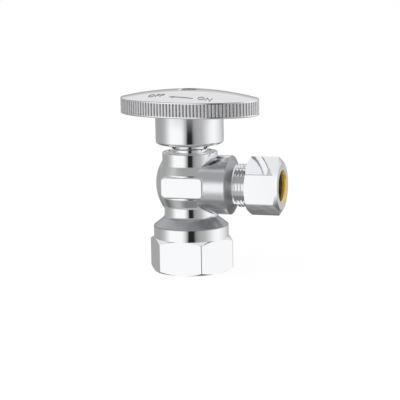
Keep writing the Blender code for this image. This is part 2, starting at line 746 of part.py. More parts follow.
def packing_nut(materials):
    """The hexagonal nut that presses the gland down. It screws onto the bonnet."""
    low = BONNET_HEAD_TOP + FIT
    ceiling = GLAND_TOP + FIT
    top = PACKING_NUT_TOP
    apothem = PACKING_NUT_FLATS / 2
    made = chamfered_hex("packing_nut_bar", PACKING_NUT_FLATS, low, top, apothem - HAIR, apothem - EDGE)
    bore = PACKING_THREAD_RADIUS + RUNNING
    stem_hole = STEM_SHANK_RADIUS + RUNNING
    hollow = turned(
        "packing_nut_hollow",
        [
            (0, low - PAST),
            (bore, low - PAST),
            (bore, ceiling),
            (stem_hole, ceiling),
            (stem_hole, top + PAST),
            (0, top + PAST),
        ],
        SMALL_SIDES,
    )
    cut(made, hollow)
    return finish(made, "packing_nut", materials["brass"])


# Stem and swivelling disc

def stem(materials):
    core = STEM_THREAD_RADIUS - STEM_THREAD_DEPTH + THREAD_FLAT
    crest = STEM_THREAD_RADIUS + HAIR
    made = turned(
        "stem_turned",
        [
            (0, BUTTON_LOW),
            (BUTTON_RADIUS, BUTTON_LOW),
            (BUTTON_RADIUS, BUTTON_LOW + BUTTON_HEIGHT),
            (BUTTON_NECK_RADIUS, BUTTON_LOW + BUTTON_HEIGHT),
            (BUTTON_NECK_RADIUS, STEM_FOOT_Z),
            (STEM_FOOT_RADIUS, STEM_FOOT_Z),
            (STEM_FOOT_RADIUS, STEM_THREAD_Z),
            (core, STEM_THREAD_Z),
            (core, STEM_THREAD_TOP + HAIR),
            (STEM_SHANK_RADIUS, STEM_THREAD_TOP + STEM_RUNOUT),
            (STEM_SHANK_RADIUS, DRIVE_Z),
            (0, DRIVE_Z),
        ],
        SMALL_SIDES,
    )
    rod = thread_rod(
        "stem_thread", STEM_THREAD_RADIUS, STEM_THREAD_DEPTH, STEM_PITCH, STEM_THREAD_Z, STEM_THREAD_TOP
    )
    envelope = turned(
        "stem_thread_envelope",
        [
            (0, STEM_THREAD_Z - 2 * HAIR),
            (STEM_FOOT_RADIUS - HAIR, STEM_THREAD_Z - 2 * HAIR),
            (crest, STEM_THREAD_Z + 2 * EDGE),
            (crest, STEM_THREAD_TOP - 2 * EDGE),
            (core - EDGE, STEM_THREAD_TOP),
            (0, STEM_THREAD_TOP),
        ],
    )
    keep_inside(rod, envelope)
    half = DRIVE_SIDE / 2
    drive = box("stem_drive", (-half, -half, DRIVE_Z - PAST), (half, half, DRIVE_TOP))
    drive.rotation_euler.z = HANDLE_TURN
    join(made, rod, drive)
    hole = turned(
        "stem_hole",
        [
            (0, DRIVE_TOP - SCREW_LENGTH - DRILL_POINT),
            (SCREW_RADIUS + RUNNING, DRIVE_TOP - SCREW_LENGTH),
            (SCREW_RADIUS + RUNNING, DRIVE_TOP + PAST),
            (0, DRIVE_TOP + PAST),
        ],
        SMALL_SIDES,
    )
    cut(made, hole)
    return finish(made, "stem", materials["brass"])


def disc_holder(materials):
    """The cup that holds the seat washer, crimped above round the stem's button so that it can swivel."""
    screw_hole = WASHER_SCREW_RADIUS + RUNNING
    cup = WASHER_RADIUS + RUNNING
    cavity = BUTTON_RADIUS + RUNNING
    hub = cavity + HOLDER_HUB_WALL
    made = turned(
        "disc_holder",
        [
            (screw_hole, HOLDER_LOW),
            (cup, HOLDER_LOW),
            (cup, HOLDER_LOW - HOLDER_CUP_DEPTH),
            (cup + HOLDER_WALL, HOLDER_LOW - HOLDER_CUP_DEPTH),
            (cup + HOLDER_WALL, HOLDER_FLOOR - HOLDER_WALL),
            (cup, HOLDER_FLOOR),
            (hub, HOLDER_FLOOR),
            (hub, HOLDER_TOP - EDGE),
            (hub - EDGE, HOLDER_TOP),
            (BUTTON_NECK_RADIUS + RUNNING, HOLDER_TOP),
            (BUTTON_NECK_RADIUS + RUNNING, HOLDER_LIP_LOW),
            (cavity, HOLDER_LIP_LOW),
            (cavity, HOLDER_FLOOR),
            (screw_hole, HOLDER_FLOOR),
        ],
        SMALL_SIDES,
    )
    return finish(made, "disc_holder", materials["brass"])


def seat_washer(materials):
    made = tube(
        "seat_washer", WASHER_SCREW_RADIUS + RUNNING, WASHER_RADIUS,
        WASHER_LOW, WASHER_LOW + WASHER_HEIGHT, HAIR, SMALL_SIDES,
    )
    return finish(made, "seat_washer", materials["rubber"])


def seat_washer_screw(materials):
    """The slotted screw that holds the seat washer in its cup. Its head hangs into the orifice."""
    head_high = WASHER_LOW - FIT
    head_low = head_high - WASHER_SCREW_HEAD_HEIGHT
    top = HOLDER_FLOOR - HAIR
    made = turned(
        "seat_washer_screw",
        [
            (0, head_low),
            (WASHER_SCREW_HEAD_RADIUS, head_low, EDGE),
            (WASHER_SCREW_HEAD_RADIUS, head_high),
            (WASHER_SCREW_RADIUS, head_high),
            (WASHER_SCREW_RADIUS, top),
            (0, top),
        ],
        SMALL_SIDES,
    )
    reach = 2 * WASHER_SCREW_HEAD_RADIUS
    half = WASHER_SCREW_SLOT / 2
    slot_high = head_low + WASHER_SCREW_SLOT_DEPTH
    slot = box("seat_washer_screw_slot", (-reach, -half, head_low - PAST), (reach, half, slot_high))
    cut(made, slot)
    return finish(made, "seat_washer_screw", materials["brass"])


# Handle

def oval(scale_to_edge, depth, angle):
    """A point of the handle's outline, moved in by depth along the outline's normal."""
    x = HANDLE_HALF_LENGTH * scale_to_edge * math.cos(angle)
    y = HANDLE_HALF_WIDTH * scale_to_edge * math.sin(angle)
    normal = Vector((math.cos(angle) / HANDLE_HALF_LENGTH, math.sin(angle) / HANDLE_HALF_WIDTH)).normalized()
    return x - normal.x * depth, y - normal.y * depth


def even_angles(count):
    """Angles that space points evenly along the oval's edge."""
    fine = 2000
    lengths = [0.0]
    previous = Vector(oval(1, 0, 0))
    for i in range(1, fine + 1):
        point = Vector(oval(1, 0, math.tau * i / fine))
        lengths.append(lengths[-1] + (point - previous).length)
        previous = point
    angles = []
    at = 0
    for i in range(count):
        want = lengths[-1] * i / count
        while lengths[at + 1] < want:
            at += 1
        share = (want - lengths[at]) / (lengths[at + 1] - lengths[at])
        angles.append(math.tau * (at + share) / fine)
    return angles


def dome_height(share):
    """Height of the dome above the rim at a share of the way from the centre to the edge."""
    return (DOME_TOP - RIM_TOP) * (1 - share**2)


def oval_solid(name, levels, angles):
    """A closed solid of rings, each (scale, depth, height, tooth depth), capped at both ends."""
    bm = bmesh.new()
    rings = []
    for scale, depth, height, tooth in levels:
        ring = []
        for i, angle in enumerate(angles):
            ring.append(bm.verts.new((*oval(scale, depth + tooth * (i % 2), angle), height)))
        rings.append(ring)
    for low, high in zip(rings, rings[1:]):
        for i in range(len(angles)):
            bm.faces.new((low[i - 1], low[i], high[i], high[i - 1]))
    bm.faces.new(list(reversed(rings[0])))
    bm.faces.new(rings[-1])
    made = object_from(name, bm)
    made.rotation_euler.z = HANDLE_TURN
    return made


def handle_rim():
    """The toothed rim, solid from side to side."""
    return oval_solid(
        "handle_rim",
        [
            (1, TOOTH_DEPTH, RIM_BOTTOM, 0),
            (1, 0, RIM_BOTTOM + RIM_LIP, TOOTH_DEPTH),
            (1, 0, RIM_TOP - RIM_LIP, TOOTH_DEPTH),
            (1, TOOTH_DEPTH, RIM_TOP, 0),
        ],
        even_angles(2 * HANDLE_TEETH),
    )


def handle_dome(name, low, drop, inset):
    """A solid with the dome's slope on top, lowered by the drop and moved in from the edge."""
    angles = even_angles(DOME_SIDES)
    levels = [(1, inset, low, 0)]
    for share in DOME_SHARES:
        levels.append((share, inset * share, RIM_TOP - drop + dome_height(share), 0))
    return oval_solid(name, levels, angles)


def handle(materials):
    """The oval handle: a domed top with a toothed rim, a round skirt and a boss that fits the stem."""
    made = handle_rim()
    join(made, handle_dome("handle_dome", RIM_TOP - PAST, 0, TOOTH_DEPTH + EDGE))
    cut(made, handle_dome("handle_hollow", RIM_BOTTOM - PAST, HANDLE_SHELL, RIM_WALL))
    skirt_roof = RIM_TOP - 2 * HAIR
    skirt = turned(
        "handle_skirt",
        [
            (SKIRT_RADIUS - SKIRT_WALL, SKIRT_BOTTOM),
            (SKIRT_RADIUS, SKIRT_BOTTOM, SKIRT_EDGE),
            (SKIRT_RADIUS, skirt_roof),
            (SKIRT_RADIUS - SKIRT_WALL, skirt_roof),
        ],
    )
    boss_top = RIM_TOP + PAST
    boss = turned(
        "handle_boss",
        [(0, BOSS_BOTTOM), (BOSS_RADIUS, BOSS_BOTTOM), (BOSS_RADIUS, boss_top), (0, boss_top)],
        SMALL_SIDES,
    )
    join(made, skirt, boss)
    recess = turned(
        "handle_recess",
        [
            (0, RECESS_FLOOR),
            (RECESS_RADIUS, RECESS_FLOOR),
            (RECESS_RADIUS + EDGE, DOME_TOP + PAST),
            (0, DOME_TOP + PAST),
        ],
        SMALL_SIDES,
    )
    hole, low, high = SCREW_RADIUS + RUNNING, DRIVE_TOP - PAST, DOME_TOP + 2 * PAST
    screw_hole = turned("handle_screw_hole", [(0, low), (hole, low), (hole, high), (0, high)], SMALL_SIDES)
    half = DRIVE_SIDE / 2 + RUNNING
    broach = box("handle_broach", (-half, -half, DRIVE_Z - PAST), (half, half, DRIVE_TOP + FIT))
    broach.rotation_euler.z = HANDLE_TURN
    cut(made, recess, broach, screw_hole)
    return finish(made, "handle", materials["chrome"])


def lock_washer(materials):
    """The split spring washer under the screw's head."""
    low = RECESS_FLOOR + FIT
    high = low + LOCK_WASHER_HEIGHT
    made = tube("lock_washer_ring", SCREW_RADIUS + RUNNING, LOCK_WASHER_RADIUS, low, high, HAIR, SMALL_SIDES)
    half = LOCK_WASHER_SPLIT / 2
    cut(made, box("lock_washer_split", (0, -half, low - PAST), (LOCK_WASHER_RADIUS + PAST, half, high + PAST)))
    finish(made, "lock_washer", materials["steel"])
    return high


def handle_screw(materials, head_low):
    """The pan-head screw, with a cross recess, that holds the handle on the stem."""
    head_low += FIT
    head_high = head_low + SCREW_HEAD_HEIGHT
    tip = DRIVE_TOP - SCREW_LENGTH + FIT
    made = turned(
        "handle_screw_turned",
        [
            (0, tip),
            (SCREW_RADIUS - SCREW_POINT, tip),
            (SCREW_RADIUS, tip + SCREW_POINT),
            (SCREW_RADIUS, head_low),
            (SCREW_HEAD_RADIUS, head_low),
            (SCREW_HEAD_RADIUS, head_high, SCREW_HEAD_ROUND),
            (0, head_high),
        ],
        SMALL_SIDES,
    )
    long, wide = CROSS_LENGTH / 2, CROSS_WIDTH / 2
    floor = head_high - CROSS_DEPTH
    cross = box("cross_a", (-long, -wide, floor), (long, wide, head_high + PAST))
    other = box("cross_b", (-wide, -long, floor), (wide, long, head_high + PAST))
    cut(made, cross, other)
    return finish(made, "handle_screw", materials["steel"])


# Compression fitting

def compression_nut(materials):
    back_radius = NUT_FLATS / 2 - 2 * HAIR
    made = chamfered_hex(
        "compression_nut_bar", NUT_FLATS, NUT_BACK_X, NUT_FRONT_X, back_radius, NUT_FACE_RADIUS
    )
    major = OUTLET_THREAD_RADIUS + THREAD_GAP
    minor = major - OUTLET_THREAD_DEPTH + THREAD_FLAT
    shoulder_out = NUT_FRONT_X - NUT_END_WALL
    shoulder_in = shoulder_out - NUT_SHOULDER_LENGTH
    hole = TUBE_RADIUS + TUBE_CLEARANCE
    bore = turned(
        "compression_nut_bore",
        [
            (0, NUT_BACK_X - PAST),
            (major + 1.2 * PAST, NUT_BACK_X - PAST),
            (minor, NUT_BACK_X + NUT_LEAD_IN),
            (minor, shoulder_in - NUT_RUNOUT - EDGE),
            (major, shoulder_in - NUT_RUNOUT),
            (major, shoulder_in),
            (NUT_SHOULDER_RADIUS, shoulder_out),
            (hole, shoulder_out),
            (hole, NUT_FRONT_X - NUT_HOLE_CHAMFER),
            (hole + 2 * NUT_HOLE_CHAMFER, NUT_FRONT_X + NUT_HOLE_CHAMFER),
            (0, NUT_FRONT_X + NUT_HOLE_CHAMFER),
        ],
    )
    thread = thread_rod(
        "compression_nut_thread", major, OUTLET_THREAD_DEPTH, OUTLET_PITCH, NUT_BACK_X, shoulder_in
    )
    around, low, high = major + PAST, NUT_BACK_X - PAST / 2, shoulder_in - NUT_RUNOUT / 2
    reach = turned("compression_nut_thread_reach", [(0, low), (around, low), (around, high), (0, high)])
    keep_inside(thread, reach)
    lay_along_x(made, bpy.data.objects["compression_nut_bar_turning"], bore, thread, reach)
    cut(made, bore, thread)
    return finish(made, "compression_nut", materials["chrome"])


def compression_sleeve(materials):
    """The brass sleeve that the nut squeezes onto the tube."""
    inner = TUBE_RADIUS + TUBE_CLEARANCE
    front = NUT_FRONT_X - NUT_END_WALL - FIT
    made = turned(
        "compression_sleeve",
        [
            (inner, SLEEVE_BACK_X),
            (SLEEVE_NOSE_RADIUS, SLEEVE_BACK_X),
            (SLEEVE_RADIUS, SLEEVE_BACK_X + SLEEVE_NOSE_LENGTH, SLEEVE_ROUND),
            (SLEEVE_RADIUS, front - SLEEVE_SHOULDER_LENGTH, SLEEVE_ROUND),
            (SLEEVE_NOSE_RADIUS, front),
            (inner, front),
        ],
        SMALL_SIDES,
    )
    lay_along_x(made)
    return finish(made, "compression_sleeve", materials["brass"])


def main():
    for old in list(bpy.data.objects):
        bpy.data.objects.remove(old)
    materials = all_materials()
    valve_body(materials)
    bonnet_gasket(materials)
    bonnet(materials)
    packing_stack(materials)
    packing_nut(materials)
    seat_washer(materials)
    seat_washer_screw(materials)
    disc_holder(materials)
    stem(materials)
    handle(materials)
    head_low = lock_washer(materials)
    handle_screw(materials, head_low)
    compression_sleeve(materials)
    compression_nut(materials)


main()
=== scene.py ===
"""Looks of the angle stop valve: polished chrome body and handle, brass inside, in a white light tent."""

import math

import bmesh
import bpy
from mathutils import Matrix, Vector

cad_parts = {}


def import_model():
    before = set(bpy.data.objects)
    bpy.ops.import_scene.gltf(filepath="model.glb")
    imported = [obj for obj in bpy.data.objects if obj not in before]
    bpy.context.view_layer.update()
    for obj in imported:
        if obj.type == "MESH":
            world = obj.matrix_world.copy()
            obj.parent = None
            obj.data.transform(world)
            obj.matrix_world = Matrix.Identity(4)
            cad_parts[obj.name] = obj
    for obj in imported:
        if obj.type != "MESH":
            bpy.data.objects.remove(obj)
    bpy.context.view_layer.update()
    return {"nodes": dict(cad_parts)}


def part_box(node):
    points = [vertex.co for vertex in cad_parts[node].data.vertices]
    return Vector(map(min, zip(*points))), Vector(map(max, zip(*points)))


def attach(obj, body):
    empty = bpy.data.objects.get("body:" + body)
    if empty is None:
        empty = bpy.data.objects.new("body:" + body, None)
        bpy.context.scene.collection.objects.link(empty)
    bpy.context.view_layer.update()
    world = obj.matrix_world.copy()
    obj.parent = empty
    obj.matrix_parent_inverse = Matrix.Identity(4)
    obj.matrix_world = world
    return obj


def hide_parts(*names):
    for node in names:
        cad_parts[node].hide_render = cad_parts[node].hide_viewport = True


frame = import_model()

MM = 0.001

# Where the valve's own pieces are
BODY_LOW, BODY_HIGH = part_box("valve_body")
BONNET_LOW, BONNET_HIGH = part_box("bonnet")
NUT_LOW, NUT_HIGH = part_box("compression_nut")
SLEEVE_LOW, SLEEVE_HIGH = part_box("compression_sleeve")
HANDLE_LOW, HANDLE_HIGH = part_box("handle")
STEM_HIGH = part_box("stem")[1]
LOCK_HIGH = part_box("lock_washer")[1]
SCREW_LOW, SCREW_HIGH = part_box("handle_screw")

# How finely round pieces are cut
FINE = 180
MEDIUM = 96
ARC_STEPS = 6

# The bend from which an edge is drawn sharp
PLAIN_EDGE = math.radians(30)
CUT_EDGE = math.radians(24)
HANDLE_EDGE = math.radians(40)

# Body
INLET_FLATS = BODY_HIGH.y - BODY_LOW.y
INLET_HEX_HEIGHT = 11.2 * MM
COLLAR_RADIUS = INLET_FLATS / 2
COLLAR_TOP = 15.2 * MM
HEX_CHAMFER = math.radians(30)
OUTLET_AXIS_Z = (NUT_LOW.z + NUT_HIGH.z) / 2
NECK_RADIUS = 8.8 * MM
SHOULDER_SLOPE = math.radians(38)
SHOULDER_LOW = COLLAR_TOP - 0.6 * MM
SHOULDER_HIGH = COLLAR_TOP + 3.7 * MM
BARREL_RADIUS = 9.2 * MM
BARREL_TOP = BODY_HIGH.z
BELT_RADIUS = 10.0 * MM
BELT_HALF_HEIGHT = 3.9 * MM
BULGE = Vector((11.8 * MM, 7.0 * MM, 13.2 * MM))
PAD_FACE_Y = 10.2 * MM
PAD_HALF_LENGTH = 7.0 * MM
PAD_HALF_HEIGHT = 3.35 * MM
PAD_CORNER = 1.6 * MM
PAD_CHAMFER = 0.6 * MM
BRANCH_RADIUS = 9.8 * MM
BRANCH_END_X = 14.35 * MM
BRANCH_CHAMFER_LENGTH = 1.65 * MM
OUTLET_END_X = BODY_HIGH.x
OUTLET_THREAD_RADIUS = 7.14 * MM
OUTLET_THREAD_DEPTH = 0.60 * MM
OUTLET_PITCH = 25.4 / 24 * MM
TUBE_RADIUS = 4.92 * MM
TUBE_STOP_X = 17.2 * MM
OUTLET_PASSAGE_RADIUS = 3.1 * MM
MOUTH_RADIUS = 5.95 * MM
MOUTH_DEPTH = 2.6 * MM
INLET_THREAD_RADIUS = 10.25 * MM
INLET_THREAD_DEPTH = 0.95 * MM
INLET_PITCH = 1.814 * MM
INLET_BORE_DEPTH = 13.2 * MM
INLET_PASSAGE_RADIUS = 4.3 * MM
ORIFICE_RADIUS = 3.3 * MM
SEAT_Z = 24.2 * MM
CHAMBER_RADIUS = 6.6 * MM
BONNET_RADIUS = 7.5 * MM
GASKET_SEAT_Z = 32.8 * MM

# Bonnet
BONNET_NECK_RADIUS = 5.85 * MM
BONNET_FLATS = BONNET_HIGH.y - BONNET_LOW.y
BONNET_HEAD_Z = 40.7 * MM
BONNET_UNDERCUT = 1.8 * MM
BONNET_HEAD_TOP = 46.0 * MM
BONNET_TOP = BONNET_HIGH.z
PACKING_THREAD_RADIUS = 5.4 * MM
PACKING_BOX_RADIUS = 4.3 * MM
PACKING_BOX_Z = 44.6 * MM
STEM_BORE_RADIUS = 4.4 * MM
STEM_LAND_RADIUS = 3.2 * MM
STEM_LAND_Z = 43.4 * MM

# Nut and sleeve
NUT_FLATS = NUT_HIGH.y - NUT_LOW.y
NUT_FACE_RADIUS = 7.7 * MM
NUT_END_WALL = 2.1 * MM
NUT_MOUTH_DEPTH = 1.3 * MM
SLEEVE_END_RADIUS = 5.05 * MM

# Handle
HANDLE_HALF_LENGTH = 24.6 * MM
HANDLE_HALF_WIDTH = 15.2 * MM
HANDLE_TURN = math.radians(-10)
HANDLE_TEETH = 108
TOOTH_DEPTH = 0.45 * MM
RIM_BOTTOM = 52.2 * MM
RIM_TOP = 57.7 * MM
HANDLE_SHELL = 1.9 * MM
RIM_WALL = 2.2 * MM
SKIRT_RADIUS = 11.3 * MM
SKIRT_WALL = 1.5 * MM
SKIRT_BOTTOM = HANDLE_LOW.z
SKIRT_EDGE = 1.1 * MM
RECESS_RADIUS = 3.7 * MM
RECESS_FLOOR = 57.9 * MM
BOSS_RADIUS = 4.6 * MM
BOSS_BOTTOM = 52.5 * MM
BORE_RADIUS = 3.0 * MM
BORE_TOP = STEM_HIGH.z + 0.3 * MM
SCREW_HOLE_RADIUS = 1.6 * MM
LETTER_HEIGHT = 0.10 * MM


# Shapes

def mesh_object(name, bm, edge=PLAIN_EDGE):
    bmesh.ops.remove_doubles(bm, verts=bm.verts, dist=1e-7)
    bmesh.ops.recalc_face_normals(bm, faces=bm.faces)
    mesh = bpy.data.meshes.new(name)
    bm.to_mesh(mesh)
    bm.free()
    mesh.shade_smooth()
    mesh.set_sharp_from_angle(angle=edge)
    made = bpy.data.objects.new(name, mesh)
    bpy.context.scene.collection.objects.link(made)
    return made


def rounded(outline):
    """(radius, height, corner radius) points as (radius, height) points, with each such corner an arc."""
    points = []
    count = len(outline)
    for i, (r, z, corner) in enumerate(outline):
        here = Vector((r, z))
        if corner == 0:
            points.append((r, z))
            continue
        back = (Vector(outline[i - 1][:2]) - here).normalized()
        ahead = (Vector(outline[(i + 1) % count][:2]) - here).normalized()
        half = back.angle(ahead) / 2
        reach = corner / math.tan(half)
        centre = here + (back + ahead).normalized() * (corner / math.sin(half))
        start = here + back * reach - centre
        sweep = start.angle_signed(here + ahead * reach - centre)
        for step in range(ARC_STEPS + 1):
            points.append(tuple(centre + Matrix.Rotation(-sweep * step / ARC_STEPS, 2) @ start))
    return points


def turned(name, outline, sides=FINE):
    """A solid turned about Z from a closed outline of (radius, height) or (radius, height, corner) points."""
    points = rounded([(*p, 0) if len(p) == 2 else p for p in outline])
    bm = bmesh.new()
    verts = [bm.verts.new((r, 0, z)) for r, z in points]
    edges = []
    for a, b in zip(verts, verts[1:] + verts[:1]):
        if a.co.x > 0 or b.co.x > 0:
            edges.append(bm.edges.new((a, b)))
    bmesh.ops.spin(
        bm, geom=verts + edges, cent=(0, 0, 0), axis=(0, 0, 1), angle=math.tau, steps=sides, use_merge=True
    )
    return mesh_object(name, bm)


def rod(name, radius, low, high):
    return turned(name, [(0, low), (radius, low), (radius, high), (0, high)])


def hex_bar(name, flats, low, high, low_face, high_face, edge):
    """A hexagonal bar, its long edges rounded, whose corners are turned off at both ends."""
    corner = flats / math.sqrt(3)
    bm = bmesh.new()
    points = []
    for i in range(6):
        middle = math.tau * i / 6
        centre = Vector((math.cos(middle), math.sin(middle))) * (corner - edge / math.cos(math.radians(30)))
        for step in range(ARC_STEPS + 1):
            angle = middle + math.radians(-30 + 60 * step / ARC_STEPS)
            points.append(centre + Vector((math.cos(angle), math.sin(angle))) * edge)
    face = bm.faces.new([bm.verts.new((p.x, p.y, low)) for p in points])
    lifted = bmesh.ops.extrude_face_region(bm, geom=[face])
    top = [v for v in lifted["geom"] if isinstance(v, bmesh.types.BMVert)]
    bmesh.ops.translate(bm, verts=top, vec=(0, 0, high - low))
    bar = mesh_object(name, bm)
    out = corner + 1 * MM
    turning = turned(
        name + "_turning",
        [
            (0, low),
            (low_face, low),
            (out, low + (out - low_face) * math.tan(HEX_CHAMFER)),
            (out, high - (out - high_face) * math.tan(HEX_CHAMFER)),
            (high_face, high),
            (0, high),
        ],
    )
    return combined(bar, [("INTERSECT", turning)])


def combined(target, steps):
    """Applies Boolean steps to the target and removes the shapes they used."""
    for operation, other in steps:
        modifier = target.modifiers.new(other.name, "BOOLEAN")
        modifier.operation = operation
        modifier.object = other
        modifier.solver = "EXACT"
    bpy.context.view_layer.update()
    ready = target.evaluated_get(bpy.context.evaluated_depsgraph_get())
    mesh = bpy.data.meshes.new_from_object(ready)
    target.modifiers.clear()
    target.data = mesh
    for _, other in steps:
        bpy.data.objects.remove(other)
    mesh.shade_smooth()
    mesh.set_sharp_from_angle(angle=CUT_EDGE)
    return target


def thread(name, profile, pitch, low, high, sides=MEDIUM):
    """A right-hand thread on a solid core. The profile is (share of the pitch, radius) points of one turn.

    Its turns are counted from z = 0, as on the frame.
    """
    first = math.floor(low / pitch) - 1
    turns = math.ceil(high / pitch) + 1 - first
    per_turn = len(profile)
    bm = bmesh.new()
    columns = []
    for side in range(sides):
        angle = math.tau * side / sides
        column = []
        for step in range(per_turn * turns + 1):
            share, r = profile[step % per_turn]
            z = (first + step // per_turn + share + side / sides) * pitch
            column.append(bm.verts.new((r * math.cos(angle), r * math.sin(angle), z)))
        columns.append(column)
    count = per_turn * turns
    for here, ahead in zip(columns, columns[1:]):
        for step in range(count):
            bm.faces.new((here[step], ahead[step], ahead[step + 1], here[step + 1]))
    last, start = columns[-1], columns[0]
    for step in range(count - per_turn):
        bm.faces.new((last[step], start[step + per_turn], start[step + per_turn + 1], last[step + 1]))
    bottom = [column[0] for column in columns] + [start[step] for step in range(per_turn, 0, -1)]
    top = [column[-1] for column in reversed(columns)] + [last[step] for step in range(count - per_turn, count)]
    low_centre = bm.verts.new((0, 0, (first - 1) * pitch))
    high_centre = bm.verts.new((0, 0, (first + turns + 2) * pitch))
    for loop, centre in ((bottom, low_centre), (top, high_centre)):
        for a, b in zip(loop, loop[1:] + loop[:1]):
            bm.faces.new((a, b, centre))
    return mesh_object(name, bm)


def lay_along_x(*objects):
    """Turns shapes made about Z so that their height runs along +X, on the outlet's axis."""
    turn = Matrix.Rotation(math.radians(90), 4, "Y")
    for made in objects:
        made.data.transform(Matrix.Translation((0, 0, OUTLET_AXIS_Z)) @ turn)


def weigh_normals(made):
    """Keeps curved faces evenly shaded next to the cuts in them."""
    modifier = made.modifiers.new("even shading", "WEIGHTED_NORMAL")
    modifier.keep_sharp = True
    modifier.weight = 100
    return made


def add_finishes(made, finishes, *names):
    for name in names:
        made.data.materials.append(finishes[name])


# Body

def barrel():
    belt_low = OUTLET_AXIS_Z - BELT_HALF_HEIGHT
    belt_high = OUTLET_AXIS_Z + BELT_HALF_HEIGHT
    shoulder = (COLLAR_RADIUS - NECK_RADIUS) * math.tan(SHOULDER_SLOPE)
    return turned(
        "barrel",
        [
            (0, INLET_HEX_HEIGHT - 1 * MM),
            (COLLAR_RADIUS - 0.01 * MM, INLET_HEX_HEIGHT - 1 * MM),
            (COLLAR_RADIUS - 0.01 * MM, COLLAR_TOP, 0.5 * MM),
            (NECK_RADIUS, COLLAR_TOP + shoulder, 2.0 * MM),
            (NECK_RADIUS, belt_low - 3.2 * MM, 2.5 * MM),
            (BELT_RADIUS, belt_low - 0.2 * MM, 0.8 * MM),
            (BELT_RADIUS, belt_high, 0.8 * MM),
            (BARREL_RADIUS, belt_high + 3.0 * MM, 3.0 * MM),
            (BARREL_RADIUS, BARREL_TOP, 0.3 * MM),
            (0, BARREL_TOP),
        ],
    )


def bulge():
    bm = bmesh.new()
    bmesh.ops.create_uvsphere(bm, u_segments=128, v_segments=80, radius=1.0)
    bmesh.ops.scale(bm, verts=bm.verts, vec=BULGE)
    bmesh.ops.translate(bm, verts=bm.verts, vec=(0, 0, OUTLET_AXIS_Z))
    cut_off = bmesh.ops.bisect_plane(
        bm, geom=bm.verts[:] + bm.edges[:] + bm.faces[:], plane_co=(0, 0, BARREL_TOP - 1 * MM),
        plane_no=(0, 0, 1), clear_outer=True,
    )
    rim = [e for e in cut_off["geom_cut"] if isinstance(e, bmesh.types.BMEdge)]
    bmesh.ops.contextual_create(bm, geom=rim)
    return mesh_object("bulge", bm)


def pad(side):
    """A wrench pad with round corners and softened edges, on the front (-1) or the back (1)."""
    bm = bmesh.new()
    bmesh.ops.create_cube(bm, size=1.0)
    wide = 2 * PAD_HALF_LENGTH + PAD_CHAMFER
    tall = 2 * PAD_HALF_HEIGHT + PAD_CHAMFER
    bmesh.ops.scale(bm, verts=bm.verts, vec=(wide, PAD_FACE_Y, tall))
    bmesh.ops.translate(bm, verts=bm.verts, vec=(0, side * PAD_FACE_Y / 2, OUTLET_AXIS_Z))
    bm.normal_update()
    across = [e for e in bm.edges if abs((e.verts[0].co - e.verts[1].co).y) > PAD_FACE_Y / 2]
    bmesh.ops.bevel(bm, geom=across, offset=PAD_CORNER, segments=8, profile=0.5, affect="EDGES")
    rim = [e for f in bm.faces if f.normal.y * side > 0.9 for e in f.edges]
    bmesh.ops.bevel(bm, geom=rim, offset=PAD_CHAMFER, segments=5, profile=0.5, affect="EDGES")
    return mesh_object("pad", bm)


def branch():
    core = OUTLET_THREAD_RADIUS - OUTLET_THREAD_DEPTH
    thread_x = BRANCH_END_X + BRANCH_CHAMFER_LENGTH
    made = turned(
        "branch",
        [
            (0, 0),
            (BRANCH_RADIUS, 0),
            (BRANCH_RADIUS, BRANCH_END_X, 0.3 * MM),
            (core + 0.25 * MM, thread_x, 0.15 * MM),
            (core, thread_x + 0.35 * MM),
            (core, OUTLET_END_X),
            (0, OUTLET_END_X),
        ],
    )
    lay_along_x(made)
    return made


def outlet_thread():
    root = OUTLET_THREAD_RADIUS - OUTLET_THREAD_DEPTH - 0.04 * MM
    low = BRANCH_END_X + BRANCH_CHAMFER_LENGTH + 0.3 * MM
    profile = [
        (0.0, root), (0.40, OUTLET_THREAD_RADIUS), (0.45, OUTLET_THREAD_RADIUS + 0.02 * MM),
        (0.55, OUTLET_THREAD_RADIUS + 0.02 * MM), (0.60, OUTLET_THREAD_RADIUS),
    ]
    made = thread("outlet_thread", profile, OUTLET_PITCH, low, OUTLET_END_X, 144)
    over = OUTLET_THREAD_RADIUS + 0.3 * MM
    envelope = turned(
        "outlet_thread_envelope",
        [
            (0, low),
            (root - 0.2 * MM, low),
            (over, low + 0.9 * MM),
            (over, OUTLET_END_X - 1.0 * MM),
            (root - 0.1 * MM, OUTLET_END_X - 0.1 * MM),
            (0, OUTLET_END_X - 0.1 * MM),
        ],
    )
    lay_along_x(made, envelope)
    return combined(made, [("INTERSECT", envelope)])


def inlet_bore():
    minor = INLET_THREAD_RADIUS - INLET_THREAD_DEPTH + 0.1 * MM
    return turned(
        "inlet_bore",
        [
            (0, -1 * MM),
            (INLET_THREAD_RADIUS + 1.3 * MM, -1 * MM),
            (minor, 0.6 * INLET_THREAD_DEPTH),
            (minor, INLET_BORE_DEPTH - 1.3 * MM),
            (INLET_THREAD_RADIUS + 0.1 * MM, INLET_BORE_DEPTH - 1.0 * MM),
            (INLET_THREAD_RADIUS + 0.1 * MM, INLET_BORE_DEPTH),
            (INLET_PASSAGE_RADIUS, INLET_BORE_DEPTH + 2.0 * MM),
            (INLET_PASSAGE_RADIUS, SEAT_Z - 3.2 * MM),
            (ORIFICE_RADIUS, SEAT_Z - 2.6 * MM),
            (ORIFICE_RADIUS, SEAT_Z),
            (CHAMBER_RADIUS, SEAT_Z),
            (CHAMBER_RADIUS, GASKET_SEAT_Z),
            (BONNET_RADIUS + 0.3 * MM, GASKET_SEAT_Z),
            (BONNET_RADIUS + 0.3 * MM, BARREL_TOP - 0.5 * MM),
            (BONNET_RADIUS + 0.8 * MM, BARREL_TOP + 0.5 * MM),
            (0, BARREL_TOP + 0.5 * MM),
        ],
    )


